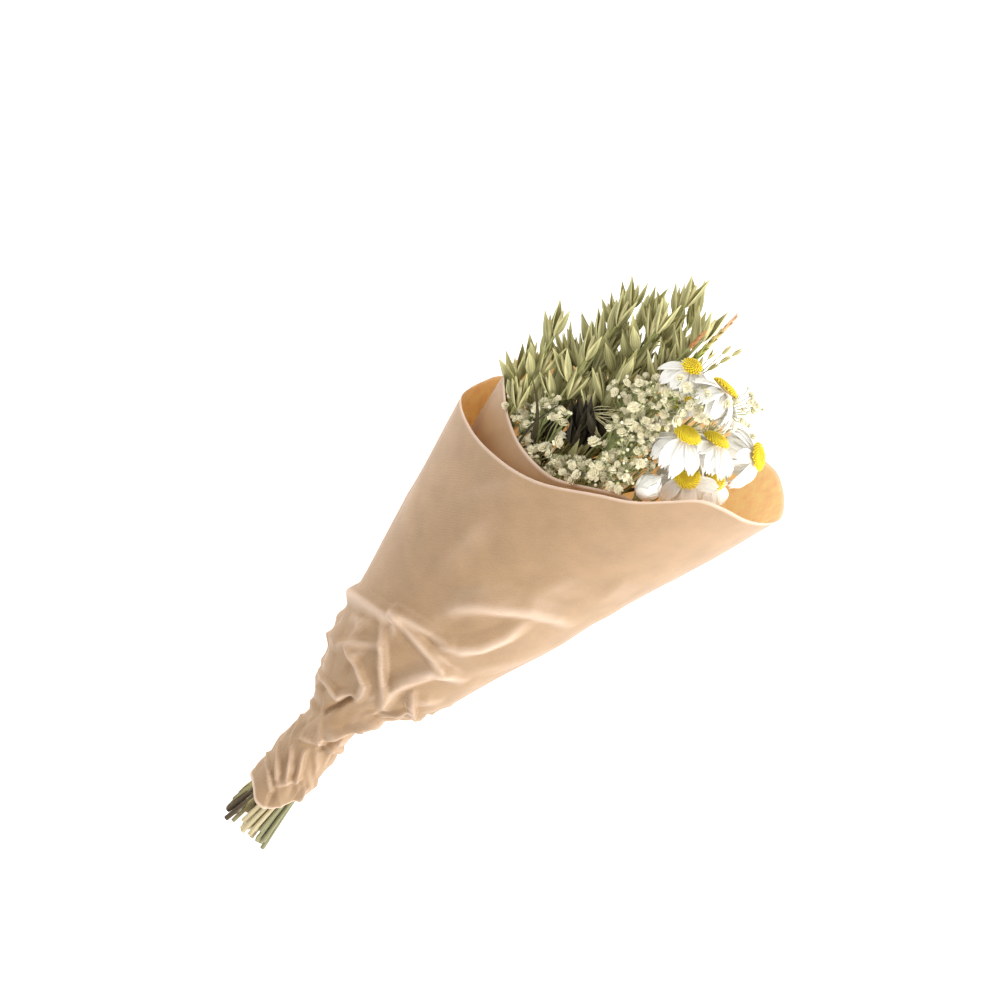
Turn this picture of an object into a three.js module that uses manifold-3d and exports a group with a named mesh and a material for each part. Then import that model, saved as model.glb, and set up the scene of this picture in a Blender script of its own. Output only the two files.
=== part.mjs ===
// A dried flower bouquet lying on its side in a cone of kraft paper: oat panicles, sprays of
// baby's breath, white paper daisies, one closed bud, a grass spike and a dock tip, tied at the neck.
// Lengths are in millimetres and angles in degrees. A place in the bouquet is given by three lengths:
// "along" runs up its own axis from the cut stems to the flowers, "right" and "up" run across it.

import * as THREE from 'three';
import { mergeVertices } from 'three/addons/utils/BufferGeometryUtils.js';
import Module from 'manifold-3d';

const wasm = await Module();
wasm.setup();

// ---- Driving dimensions ----

const AXIS_RISE = 10.25;                 // slope of the bouquet's axis on the table
const CUT_END_HEIGHT = 11.9;             // height of the axis over the table at the cut stems
const MIDDLE = { x: 224.1, y: -9.7 };    // middle of the bouquet's length and width

const PAPER = 1.0;                       // thickness of the paper wall, measured across the axis
const LAYER_STEP = 1.5;                  // how far one full turn of paper lies inside the next
const PAPER_START = 50;                  // angle of the sheet's inner end, 0 is up and 90 is right
const PAPER_SWEEP = 550;                 // the sheet goes round by the left for one and a half turns
const COLUMN_STEP = 10;
const FLATTENING = { tube: 0.95, cone: 0.85 };

// along, reach to the left, reach to the right: the outline of the paper seen from above
const OUTLINE = [
  [24, 15.5, 20.8], [42, 15.2, 20.9], [56, 16.4, 20.2], [68, 17.5, 18.7], [78, 16.4, 17.9],
  [87, 15.0, 16.4], [97, 19.0, 15.3], [108, 26.6, 17.0], [120, 33.3, 21.0], [133, 38.3, 32.6],
  [150, 44.6, 42.6], [178, 50.5, 50.6], [215, 60.3, 60.3], [265, 73.0, 72.0], [310, 85.4, 84.2],
  [345, 94.4, 93.6], [402, 108, 108],
];
// angle of the sheet, along: its edge at the mouth and its edge round the stems
const MOUTH_EDGE = [
  [50, 352], [30, 351], [20, 350], [11, 343], [0, 332.5], [-7, 327], [-15, 324.6], [-28, 323.7],
  [-47, 326], [-64, 330.5], [-86, 333.5], [-112, 335], [-126, 343], [-160, 370], [-200, 388],
  [-220, 392], [-235, 397], [-248, 394.5], [-261, 391.5], [-278, 390], [-302, 386], [-318, 384.5],
  [-325, 380.5], [-332, 368.5], [-340, 354.5], [-349, 344.5], [-370, 321.5], [-396, 310],
  [-422, 308], [-450, 308], [-467, 313], [-500, 330],
];
const STEM_EDGE = [
  [50, 38], [-90, 28], [-180, 34], [-270, 43], [-294, 41], [-313, 33], [-333, 25.5], [-350, 22.5],
  [-370, 23], [-390, 27], [-416, 29], [-450, 28], [-500, 30],
];
// angle of the sheet, width of that turn over the width of the outermost one
const TIGHTNESS = [
  [50, 0.93], [11, 0.885], [-7, 0.868], [-28, 0.845], [-47, 0.80], [-64, 0.795], [-86, 0.82],
  [-112, 0.906], [-126, 0.965], [-150, 1], [-500, 1],
];
const LOOSE = { from: 100, to: 260 };    // where along the axis the inner turn leaves the outer one
const ROWS_LOW = [64, 77, 87, 97, 108, 120, 134, 152, 180];
const ROWS_HIGH = 3;
const FOLDS = [                          // ridges pressed into the paper above the neck
  { ridges: 3, twist: 1.9, depth: 2.3, phase: 40 },
  { ridges: 5, twist: -2.6, depth: 1.4, phase: 130 },
];

const NECK = 88;                         // where the stems are tied
const STEM_BEND = 1.25;                  // 1 would be straight stems from the neck to the heads
const STEM_GAP = 0.45;
const BUNDLE = { across: 9.6, high: 9.2, squeeze: 0.12 };
const TIE = { width: 5, thick: 0.9 };
const SPREAD_BELOW = { across: 1.05, high: 0.26, power: 1.6, turn: 26, drift: 4, thicker: 0.35 };
const CUT = { first: -6, ragged: 15 };   // the cut ends lie within this length along the axis
const GOLDEN = 2.4;                      // turn from each leaf, husk or scale to the next, in radians

const OAT = {
  radius: 1.1, panicle: 94, spikelets: 9, fewer: 6, stalk: 0.5, room: 2.1,
  glume: 22, width: 6.2, thick: 3.6, open: [4, 18], lean: [52, 30], sweep: 26,
  stalks: [16, 1], roll: 3.2,
};
const GYPS = { radius: 0.7, twig: 0.42, blooms: 5, bloom: 3.2, reach: [9, 8, 6], fork: 30 };
const DAISY = { radius: 0.9, disc: 7.2, petals: 12, width: 6.9, thick: 1.0, hub: 4.4, overlap: 12 };

// tip of each oat panicle: along, right, up
const OAT_TIPS = [
  [361, -75, 12], [376, -74, 31], [401, -77, 40], [405, -54, 44], [430, -55, 35], [441, -56, 23],
  [445, -36, 42], [463, -35, 25], [462, -25, 18], [459, -14, 38], [437, -46, 5], [397, -63, 10],
  [423, -16, 42], [428, -38, -16], [410, -30, 44], [412, -32, -50],
];
// three places where each spray of baby's breath blooms
const SPRAYS = [
  [[334, -55, 30], [335, -44, 38], [326, -38, 40]], [[351, -40, 45], [350, -26, 50], [341, -20, 52]],
  [[327, -22, 49], [331, -10, 55], [343, -6, 57]], [[358, 3, 60], [351, 9, 62], [341, 5, 61]],
  [[365, 21, 63], [374, 14, 61], [354, 18, 64]], [[368, -1, 57], [379, -1, 57], [376, 6, 59]],
  [[395, -17, 50], [398, -6, 55], [400, 1, 57]], [[389, 2, 59], [394, 8, 60], [386, 10, 60]],
  [[411, 0, 57], [416, 9, 62], [407, 12, 58]], [[421, 23, 63], [432, 39, 50], [444, 30, 45]],
  [[402, 58, -24], [392, 40, -44], [380, 12, -58]],
];
// middle of each daisy, the way it faces, length of its petals and how far they rise from the
// flower's plane, and the width of its disc over the usual one
const DAISIES = [
  { at: [427, 2, 55], face: [0.85, -0.21, 0.48], petal: 14, rise: -42, heart: 0.74 },
  { at: [430, 24, 50], face: [0.97, -0.03, -0.25], petal: 20, rise: -50, heart: 1.1 },
  { at: [405, 10, 33], face: [0.6, -0.1, 0.8], petal: 9, rise: -20, heart: 1 },
  { at: [397, 28, 57], face: [0.93, -0.23, 0.28], petal: 20, rise: -54, heart: 1.06 },
  { at: [404, 42, 45], face: [0.97, -0.23, 0.08], petal: 18, rise: -50, heart: 1 },
  { at: [380, 44, 53], face: [0.56, -0.07, 0.83], petal: 14, rise: -40, heart: 1 },
  { at: [387, 57, 43], face: [0.77, 0.22, 0.6], petal: 15, rise: -42, heart: 0.8 },
  { at: [410, 65, 23], face: [0.77, 0.61, 0.2], petal: 18, rise: -50, heart: 1.06 },
  { at: [383, 20, 36], face: [0.73, -0.14, 0.67], petal: 8, rise: 0, heart: 0.8 },
];
const BUD = { at: [355, 32, 63], face: [0.95, 0.05, 0.3], radius: 7, length: 19, stem: 0.9 };
const SPIKE = { tip: [464, 0, 30], radius: 0.9, length: 46, scales: 6 };
const DOCK = { tip: [448, -7, 51], radius: 0.8, length: 14 };

// ---- The frame, random numbers and curves through knots ----

const rad = THREE.MathUtils.degToRad;
const RISE = rad(AXIS_RISE);

function at(along, right, up) {
  return new THREE.Vector3(
    along * Math.cos(RISE) - up * Math.sin(RISE) - MIDDLE.x,
    -right - MIDDLE.y,
    CUT_END_HEIGHT + along * Math.sin(RISE) + up * Math.cos(RISE),
  );
}

function way(along, right, up) {
  return at(along, right, up).sub(at(0, 0, 0)).normalize();
}

// repeatable draws between 0 and 1, one stream for each plant piece
function draws(seed) {
  let state = (seed * 7919 + 104729) % 2147483647;
  const next = () => {
    state = (state * 16807) % 2147483647;
    return state / 2147483647;
  };
  next();
  next();
  return next;
}

// smooth curve through [x, y, ...] rows, with x rising or falling
function through(knots, x, column = 1) {
  const rising = knots[knots.length - 1][0] > knots[0][0] ? 1 : -1;
  let i = 0;
  while (i < knots.length - 2 && (knots[i + 1][0] - x) * rising < 0) i += 1;
  const slope = (a, b) => (knots[b][column] - knots[a][column]) / (knots[b][0] - knots[a][0]);
  const width = knots[i + 1][0] - knots[i][0];
  const t = THREE.MathUtils.clamp((x - knots[i][0]) / width, 0, 1);
  const here = slope(i, i + 1);
  const before = i > 0 ? slope(i - 1, i) : here;
  const after = i < knots.length - 2 ? slope(i + 1, i + 2) : here;
  const m0 = before * here > 0 ? (before + here) / 2 : 0;
  const m1 = after * here > 0 ? (after + here) / 2 : 0;
  const a = knots[i][column];
  const b = knots[i + 1][column];
  const s = t * t * (3 - 2 * t);
  return a + (b - a) * s + width * (m0 * t * (1 - t) * (1 - t) - m1 * t * t * (1 - t));
}

function ease(x, from, to) {
  return THREE.MathUtils.smoothstep(x, from, to);
}

// ---- The paper cone ----

// half widths of the paper at a place along the axis, and how far its middle lies to the right
function coneAt(along) {
  const left = through(OUTLINE, along, 1);
  const right = through(OUTLINE, along, 2);
  const across = (left + right) / 2;
  const flat = THREE.MathUtils.lerp(FLATTENING.tube, FLATTENING.cone, ease(along, 90, 180));
  return { across, high: across * flat, middle: (right - left) / 2 };
}

function folds(angle, along) {
  const strength = ease(along, 80, 124) * (1 - ease(along, 150, 215));
  let depth = 0;
  for (const fold of FOLDS) {
    const turn = (angle * fold.ridges + along * fold.twist * fold.ridges + fold.phase) / 360;
    const wave = Math.abs(turn - Math.floor(turn) - 0.5) * 4 - 0.7;
    depth += wave * fold.depth;
  }
  return depth * strength;
}

function insetAt(angle, along, across) {
  const spiral = LAYER_STEP * (angle - PAPER_START + PAPER_SWEEP) / 360;
  const loose = (1 - through(TIGHTNESS, angle)) * across * ease(along, LOOSE.from, LOOSE.to);
  return spiral + loose;
}

function paperPoint(angle, along, depth) {
  const cone = coneAt(along);
  const inset = insetAt(angle, along, cone.across) + depth - folds(angle, along);
  const turn = rad(angle);
  const right = cone.middle + (cone.across - inset) * Math.sin(turn);
  const up = (cone.high - inset) * Math.cos(turn);
  const point = at(along, right, up);
  point.z = Math.max(point.z, depth);
  return point;
}

function paperRows(angle) {
  const low = through(STEM_EDGE, angle);
  const high = through(MOUTH_EDGE, angle);
  const last = ROWS_LOW[ROWS_LOW.length - 1];
  const rows = [low, ...ROWS_LOW];
  for (let i = 1; i <= ROWS_HIGH; i += 1) rows.push(last + (high - last) * i / ROWS_HIGH);
  return rows;
}

function wrapper() {
  const columns = PAPER_SWEEP / COLUMN_STEP;
  const outer = [];
  const inner = [];
  for (let i = 0; i <= columns; i += 1) {
    const angle = PAPER_START - i * COLUMN_STEP;
    const rows = paperRows(angle);
    outer.push(rows.map((along) => paperPoint(angle, along, 0)));
    inner.push(rows.map((along) => paperPoint(angle, along, PAPER)));
  }
  const height = outer[0].length;
  const points = [...outer.flat(), ...inner.flat()];
  const index = [];
  const id = (i, j, side) => side * (columns + 1) * height + i * height + j;
  const quad = (a, b, c, d) => index.push(a, b, c, a, c, d);
  for (let i = 0; i < columns; i += 1) {
    for (let j = 0; j < height - 1; j += 1) {
      quad(id(i, j, 0), id(i, j + 1, 0), id(i + 1, j + 1, 0), id(i + 1, j, 0));
      index.push(id(i, j, 1), id(i + 1, j + 1, 1), id(i, j + 1, 1));
      index.push(id(i, j, 1), id(i + 1, j, 1), id(i + 1, j + 1, 1));
    }
    quad(id(i, 0, 0), id(i + 1, 0, 0), id(i + 1, 0, 1), id(i, 0, 1));
    const top = height - 1;
    quad(id(i, top, 0), id(i, top, 1), id(i + 1, top, 1), id(i + 1, top, 0));
  }
  for (let j = 0; j < height - 1; j += 1) {
    quad(id(0, j, 0), id(0, j, 1), id(0, j + 1, 1), id(0, j + 1, 0));
    quad(id(columns, j, 0), id(columns, j + 1, 0), id(columns, j + 1, 1), id(columns, j, 1));
  }
  return surface(points, index);
}

// is a ball of this radius inside the paper, or past its mouth?
function insidePaper(along, right, up, radius) {
  const cone = coneAt(along);
  let angle = THREE.MathUtils.radToDeg(Math.atan2((right - cone.middle) / cone.across, up / cone.high));
  if (angle > PAPER_START) angle -= 360;
  if (along > through(MOUTH_EDGE, angle) + radius) return true;
  const inset = insetAt(angle, along, cone.across) + PAPER + radius - folds(angle, along);
  const x = (right - cone.middle) / (cone.across - inset);
  const y = up / (cone.high - inset);
  return x * x + y * y < 1 && at(along, right, up).z > PAPER + radius;
}

// ---- Closed shapes ----

function surface(points, index) {
  const geometry = new THREE.BufferGeometry().setFromPoints(points);
  geometry.setIndex(index);
  return geometry;
}

function toSolid(geometry) {
  const bare = geometry.clone();
  bare.deleteAttribute('normal');
  bare.deleteAttribute('uv');
  const merged = mergeVertices(bare, 1e-4);
  return new wasm.Manifold(new wasm.Mesh({
    numProp: 3,
    vertProperties: Float32Array.from(merged.attributes.position.array),
    triVerts: Uint32Array.from(merged.index.array),
  }));
}

function fuse(geometries) {
  const whole = geometries.map(toSolid).reduce((sum, next) => sum.add(next));
  const mesh = whole.getMesh();
  const geometry = new THREE.BufferGeometry();
  const points = Float32Array.from(mesh.vertProperties);
  geometry.setAttribute('position', new THREE.BufferAttribute(points, 3));
  geometry.setIndex(Array.from(mesh.triVerts));
  return geometry;
}

// a lens over an outline of [across, forward, lift] rows, thickest at the given forward place
function blade(outline, thick, middle) {
  const points = outline.map((p) => new THREE.Vector3(p[0], p[1], p[2]));
  points.push(new THREE.Vector3(0, middle[0], middle[1] + thick / 2));
  points.push(new THREE.Vector3(0, middle[0], middle[1] - thick / 2));
  const count = outline.length;
  const index = [];
  for (let i = 0; i < count; i += 1) {
    const next = (i + 1) % count;
    index.push(i, next, count, next, i, count + 1);
  }
  return surface(points, index);
}

// a closed skin drawn over rings of points that follow one another forward
class Skin {
  constructor() {
    this.points = [];
    this.index = [];
  }

  add(points) {
    const first = this.points.length;
    this.points.push(...points);
    return points.map((point, i) => first + i);
  }

  bridge(low, high) {
    let i = 0;
    let j = 0;
    while (i < low.length || j < high.length) {
      const a = low[i % low.length];
      const b = high[j % high.length];
      if ((i + 1) / low.length <= (j + 1) / high.length) {
        i += 1;
        this.index.push(a, low[i % low.length], b);
      } else {
        j += 1;
        this.index.push(a, high[j % high.length], b);
      }
    }
  }

  fan(ring, apex) {
    ring.forEach((a, i) => this.index.push(a, ring[(i + 1) % ring.length], apex));
  }

  close() {
    return surface(this.points, this.index);
  }
}

// axes at a place: z forward, x towards the face, y round to its left
function axes(origin, forward, face) {
  const z = forward.clone().normalize();
  const y = new THREE.Vector3().crossVectors(z, face).normalize();
  const x = new THREE.Vector3().crossVectors(y, z);
  const point = (a, b, c) => {
    const place = origin.clone();
    return place.addScaledVector(x, a).addScaledVector(y, b).addScaledVector(z, c);
  };
  return { x, y, z, point };
}

function ringAt(frame, radius, along, sides = 3) {
  const points = [];
  for (let i = 0; i < sides; i += 1) {
    const turn = i / sides * Math.PI * 2;
    points.push(frame.point(radius * Math.cos(turn), radius * Math.sin(turn), along));
  }
  return points;
}

// starts a skin with a three-sided stalk from a root to the foot of a head
function stalkSkin(root, head, radius) {
  const skin = new Skin();
  const stalk = axes(root, head.point(0, 0, 0).sub(root), head.x);
  const base = skin.add(ringAt(stalk, radius, 0));
  skin.index.push(base[2], base[1], base[0]);
  const foot = skin.add(ringAt(head, radius, 0));
  skin.bridge(base, foot);
  return { skin, foot };
}

// puts a shape that points along its own Y, with its face along Z, at a place
function placed(geometry, origin, forward, face) {
  const y = forward.clone().normalize();
  const x = new THREE.Vector3().crossVectors(y, face).normalize();
  const z = new THREE.Vector3().crossVectors(x, y);
  const basis = new THREE.Matrix4().makeBasis(x, y, z).setPosition(origin);
  return geometry.applyMatrix4(basis);
}

function twig(from, to, radiusFrom, radiusTo, sides = 3) {
  const length = from.distanceTo(to);
  const geometry = new THREE.CylinderGeometry(radiusTo, radiusFrom, length, sides);
  geometry.translate(0, length / 2, 0);
  const forward = to.clone().sub(from);
  return placed(geometry, from, forward, sideways(forward));
}

function sideways(forward) {
  const across = new THREE.Vector3().crossVectors(forward, way(0, 0, 1));
  return across.normalize();
}

// a three-sided stem through its levels along the axis, thicker towards its cut end
function rod(stem, levels) {
  const skin = new Skin();
  const rings = levels.map((along) => {
    const here = stemPoint(stem, along);
    const frame = axes(here, stemPoint(stem, along + 1).sub(here), way(0, 0, 1));
    const thicker = 1 + SPREAD_BELOW.thicker * Math.max(0, 1 - along / NECK);
    return skin.add(ringAt(frame, stem.radius * thicker, 0));
  });
  for (let i = 1; i < rings.length; i += 1) skin.bridge(rings[i - 1], rings[i]);
  const [first, last] = [rings[0], rings[rings.length - 1]];
  skin.index.push(first[0], first[2], first[1], ...last);
  return skin.close();
}

// ---- What has been placed so far, as capsules that later pieces keep clear of ----

const claims = [];

function segmentDistance(a, b, c, d) {
  const u = b.clone().sub(a);
  const v = d.clone().sub(c);
  const w = a.clone().sub(c);
  const uu = u.dot(u);
  const vv = v.dot(v);
  const uv = u.dot(v);
  const uw = u.dot(w);
  const vw = v.dot(w);
  const det = uu * vv - uv * uv;
  const clamp = THREE.MathUtils.clamp;
  let s = det > 1e-9 ? clamp((uv * vw - vv * uw) / det, 0, 1) : 0;
  const t = vv > 1e-9 ? clamp((uv * s + vw) / vv, 0, 1) : 0;
  s = uu > 1e-9 ? clamp((uv * t - uw) / uu, 0, 1) : 0;
  return w.addScaledVector(u, s).addScaledVector(v, -t).length();
}

function isClear(owner, from, to, radius) {
  return claims.every((claim) => claim.owner === owner
    || segmentDistance(from, to, claim.from, claim.to) > radius + claim.radius + STEM_GAP);
}

function claim(owner, from, to, radius) {
  claims.push({ owner, from, to, radius });
}

// ---- Stems ----

// the place this far behind a flower, away from the way it faces
function behind(flower, distance) {
  const length = Math.hypot(...flower.face);
  return flower.at.map((value, i) => value - flower.face[i] / length * distance);
}

// every stem: where its head stands, and how thick it is
function stemList() {
  const stems = [];
  const add = (name, head, radius, owner = name) => {
    stems.push({ name, head, radius, owner, seed: stems.length + 1 });
  };
  const back = OAT.glume * Math.cos(rad(OAT.sweep));
  const aside = OAT.glume * Math.sin(rad(OAT.sweep));
  OAT_TIPS.forEach(([along, right, up], i) => {
    add(`oat_panicle_${i + 1}`, [along - back, right + aside, up], OAT.radius);
  });
  SPRAYS.forEach((spray, i) => {
    const inwards = 0.86;
    const middle = [0, 1, 2].map((k) => (spray[0][k] + spray[1][k] + spray[2][k]) / spray.length);
    const head = [middle[0] - GYPS.fork, middle[1] * inwards, middle[2] * inwards];
    add(`babys_breath_${i + 1}`, head, GYPS.radius);
  });
  DAISIES.forEach((daisy, i) => {
    const name = `daisy_${i + 1}`;
    add(name, behind(daisy, 6), DAISY.radius, `${name}_stem`);
  });
  add('bud', behind(BUD, 1), BUD.stem, 'bud_stem');
  add('grass_spike', [SPIKE.tip[0] - SPIKE.length, SPIKE.tip[1], SPIKE.tip[2]], SPIKE.radius);
  add('dock_tip', [DOCK.tip[0] - DOCK.length, DOCK.tip[1], DOCK.tip[2]], DOCK.radius);
  return stems;
}

function share(stem, along) {
  return Math.pow(THREE.MathUtils.clamp((along - NECK) / (stem.head[0] - NECK), 0, 1), STEM_BEND);
}

function acrossAt(stem, along) {
  const k = share(stem, along);
  return [stem.slot[0] * (1 - k) + stem.head[1] * k, stem.slot[1] * (1 - k) + stem.head[2] * k];
}

// the stems are pressed together at the neck: slots start as a small copy of the heads' places
// and push each other apart until every pair is clear all the way up
function settleSlots(stems) {
  const middle = coneAt(NECK).middle;
  for (const stem of stems) {
    stem.slot = [middle + stem.head[1] * BUNDLE.squeeze, stem.head[2] * BUNDLE.squeeze];
  }
  const levels = [NECK, 94, 102, 114, 130, 152, 180, 197, 215, 235, 255, 285];
  for (let round = 0; round < 400; round += 1) {
    for (let i = 0; i < stems.length; i += 1) {
      for (let j = 0; j < i; j += 1) pushApart(stems[i], stems[j], levels);
    }
    for (const stem of stems) {
      const x = (stem.slot[0] - middle) / (BUNDLE.across - stem.radius);
      const y = stem.slot[1] / (BUNDLE.high - stem.radius);
      const out = Math.sqrt(x * x + y * y);
      if (out > 1) stem.slot = [middle + (stem.slot[0] - middle) / out, stem.slot[1] / out];
    }
  }
}

function pushApart(one, other, levels) {
  const least = one.radius + other.radius + STEM_GAP;
  for (const along of levels) {
    const a = acrossAt(one, along);
    const b = acrossAt(other, along);
    const dx = a[0] - b[0];
    const dy = a[1] - b[1];
    const distance = Math.sqrt(dx * dx + dy * dy) + 1e-6;
    if (distance < least) {
      const push = (least - distance) / distance * 0.3;
      one.slot = [one.slot[0] + dx * push, one.slot[1] + dy * push];
      other.slot = [other.slot[0] - dx * push, other.slot[1] - dy * push];
    }
  }
}

// a point on a stem: below the neck the bundle opens and turns, above it the stem bends to its head
function stemPoint(stem, along) {
  if (along >= NECK) return at(along, ...acrossAt(stem, along));
  const middle = coneAt(NECK).middle;
  const down = (NECK - along) / NECK;
  const open = Math.pow(down, SPREAD_BELOW.power);
  const turn = rad(SPREAD_BELOW.turn) * down;
  const x = stem.slot[0] - middle;
  const y = stem.slot[1];
  const shift = ease(NECK - along, 0, 50) * (coneAt(40).middle - middle) + SPREAD_BELOW.drift * open;
  const right = (x * Math.cos(turn) - y * Math.sin(turn)) * (1 + SPREAD_BELOW.across * open);
  const up = (x * Math.sin(turn) + y * Math.cos(turn)) * (1 + SPREAD_BELOW.high * open);
  return at(along, middle + shift + right, up);
}

function stemLevels(stem) {
  const cut = CUT.first + CUT.ragged * draws(stem.seed)();
  const levels = [cut, 42, NECK, 110, 145, 210];
  const rest = stem.head[0] - 210;
  const parts = Math.ceil(rest / 75);
  for (let i = 1; i <= parts; i += 1) levels.push(210 + rest * i / parts);
  return levels;
}

function growStem(stem) {
  const levels = stemLevels(stem);
  const points = levels.map((along) => stemPoint(stem, along));
  for (let i = 1; i < points.length; i += 1) claim(stem.owner, points[i - 1], points[i], stem.radius);
  stem.body = rod(stem, levels);
}

const STEMS = stemList();
settleSlots(STEMS);
STEMS.forEach(growStem);

function stemNamed(name) {
  return STEMS.find((stem) => stem.name === name);
}

function within(from, to, radius) {
  return [0.15, 0.3, 0.45, 0.6, 0.8, 1].every((share) => {
    const point = from.clone().lerp(to, share);
    const along = point.clone().sub(at(0, 0, 0)).dot(way(1, 0, 0));
    const up = point.clone().sub(at(0, 0, 0)).dot(way(0, 0, 1));
    return insidePaper(along, -point.y - MIDDLE.y, up, radius);
  });
}

// ---- Materials ----

function finish(name, color, roughness) {
  return new THREE.MeshStandardMaterial({ name, color, roughness, metalness: 0 });
}

const FINISH = {
  paper: finish('kraft paper', 0xc8a582, 0.85),
  tie: finish('jute tie', 0xa98755, 0.9),
  oat: finish('dried oat', 0xa7ab72, 0.7),
  spray: finish("dried baby's breath", 0xe9e6cf, 0.8),
  petal: finish('white petal', 0xf7f6f0, 0.6),
  disc: finish('yellow florets', 0xe6c21a, 0.8),
  stem: finish('dried green stem', 0x8f9258, 0.75),
  bud: finish('papery bud', 0xf2eedd, 0.6),
  dock: finish('dried dock', 0xb5764a, 0.8),
};

const bouquet = new THREE.Group();
bouquet.name = 'mixed_flower_bouquet';

function addNode(name, geometry, material) {
  const mesh = new THREE.Mesh(geometry, material);
  mesh.name = name;
  bouquet.add(mesh);
}

// ---- Daisies ----

const PETAL_WIDEST = 0.62;               // share of a petal's length at which it is widest
const PETAL_TIP = 0.6;                   // width of its tip over its widest
const PETAL_GAP = 0.15;

// petals grow from the edges of the hub; each is a lens, and every second one stands higher
function petalRing(frame, petals) {
  const skin = new Skin();
  const n = petals.length;
  const half = DAISY.thick / 2;
  const rim = (z) => skin.add(ringAt(frame, DAISY.hub, z, n));
  const top = rim(half);
  const bottom = rim(-half);
  const [above, below] = skin.add([frame.point(0, 0, half), frame.point(0, 0, -half)]);
  skin.fan(top, above);
  skin.fan([...bottom].reverse(), below);
  petals.forEach((petal, k) => {
    const next = (k + 1) % n;
    const turn = (k + 0.5) / n * Math.PI * 2;
    const [cos, sin] = [Math.cos(turn), Math.sin(turn)];
    const place = (x, share, z) => {
      const [onPath, lift, bend] = petalPath(petal, share);
      const reach = onPath - z * Math.sin(bend);
      return frame.point(reach * cos - x * sin, reach * sin + x * cos, lift + z * Math.cos(bend));
    };
    const w = petal.width / 2;
    const tip = w * PETAL_TIP;
    const outline = [[-w, PETAL_WIDEST], [-tip, 1], [tip, 1], [w, PETAL_WIDEST]];
    const edge = skin.add(outline.map(([x, share]) => place(x, share, 0)));
    const [ridge, keel] = skin.add([place(0, 0.45, half), place(0, 0.45, -half)]);
    skin.fan([top[k], ...edge, top[next]], ridge);
    skin.fan([bottom[next], ...[...edge].reverse(), bottom[k]], keel);
    skin.index.push(edge[0], top[k], bottom[k], top[next], edge[3], bottom[next]);
  });
  return skin.close();
}

// how far out and how high a petal has got at a share of its length, and its bend there, which
// grows towards its tip
function petalPath(petal, share) {
  const bend = rad(petal.rise) * (0.35 + 0.65 * share);
  const far = petal.length * share;
  return [DAISY.hub + far * Math.cos(bend), far * Math.sin(bend), bend];
}

// a petal no wider than its share of the ring, so that it misses the petals beside it
function fitted(length, width, rise) {
  const petal = { length, width, rise };
  const room = Math.min(petalPath(petal, PETAL_WIDEST)[0], petalPath(petal, 1)[0] / PETAL_TIP);
  petal.width = Math.min(width, 2 * (room * Math.tan(Math.PI / DAISY.petals) - PETAL_GAP));
  return petal;
}

// a petal claims lines along its sides and its middle, so that the next flowers pass clear of it
function petalClear(owner, frame, turn, petal) {
  const out = frame.x.clone().multiplyScalar(Math.cos(turn)).addScaledVector(frame.y, Math.sin(turn));
  const side = new THREE.Vector3().crossVectors(frame.z, out);
  const place = (x, share) => {
    const [reach, lift] = petalPath(petal, share);
    return frame.point(0, 0, lift).addScaledVector(out, reach).addScaledVector(side, x * petal.width);
  };
  const parts = [-0.38, 0, 0.38].flatMap((x) => {
    const middle = place(x, 0.5);
    return [[place(x * 0.5, 0), middle], [middle, place(x * 0.8, 1)]];
  });
  const good = parts.every(([a, b]) => isClear(owner, a, b, 0.8) && within(a, b, 1));
  if (good) parts.forEach(([a, b]) => claim(owner, a, b, 0.8));
  return good;
}

function daisyFrame(daisy) {
  const face = way(...daisy.face);
  return axes(at(...daisy.at), face, leaning(face, Math.PI / 2, Math.PI / 2));
}

// petals that would touch a neighbour bend away from it, or stay short
function choosePetals(name, daisy, frame, random) {
  const petals = [];
  const bends = [0, -12, 12, -26, 26, 40];
  for (let k = 0; k < DAISY.petals; k += 1) {
    const turn = (k + 0.5) / DAISY.petals * Math.PI * 2;
    const length = daisy.petal * (0.9 + 0.2 * random());
    const width = DAISY.width * (0.92 + 0.08 * random());
    const choices = [1, 0.6, 0.3].flatMap((part) => bends.map((bend) => (
      fitted(length * part, width * (0.4 + 0.6 * part), daisy.rise + bend + (k % 2) * DAISY.overlap)
    )));
    const free = choices.find((petal) => petal.rise < 36 && petalClear(name, frame, turn, petal));
    petals.push(free || { length: 1.5, width: 2, rise: 0 });
  }
  return petals;
}

function daisyHead(daisy, i) {
  const name = `daisy_${i + 1}`;
  const frame = daisyFrame(daisy);
  const petals = choosePetals(name, daisy, frame, draws(500 + i));
  const stem = stemNamed(name);
  addNode(`${name}_petals`, petalRing(frame, petals), FINISH.petal);
  const disc = placed(discShape(daisy.heart), frame.point(0, 0, 0), frame.z, frame.x);
  addNode(`${name}_disc`, disc, FINISH.disc);
  addNode(`${name}_stem`, fuse([stem.body, calyx(frame)]), FINISH.stem);
}

function discShape(heart) {
  const r = DAISY.disc * heart;
  const profile = [[0, 1], [r * 0.5, 1], [r, 3.1], [r * 0.7, 5.1], [0, 5.9]];
  return new THREE.LatheGeometry(profile.map((p) => new THREE.Vector2(p[0], p[1])), 8);
}

// the green cup under the flower, from the end of the stem to just below the hub
function calyx(frame) {
  return twig(frame.point(0, 0, -6.5), frame.point(0, 0, -0.9), 1.2, DAISY.hub - 0.8, 6);
}

// ---- Oats ----

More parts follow.
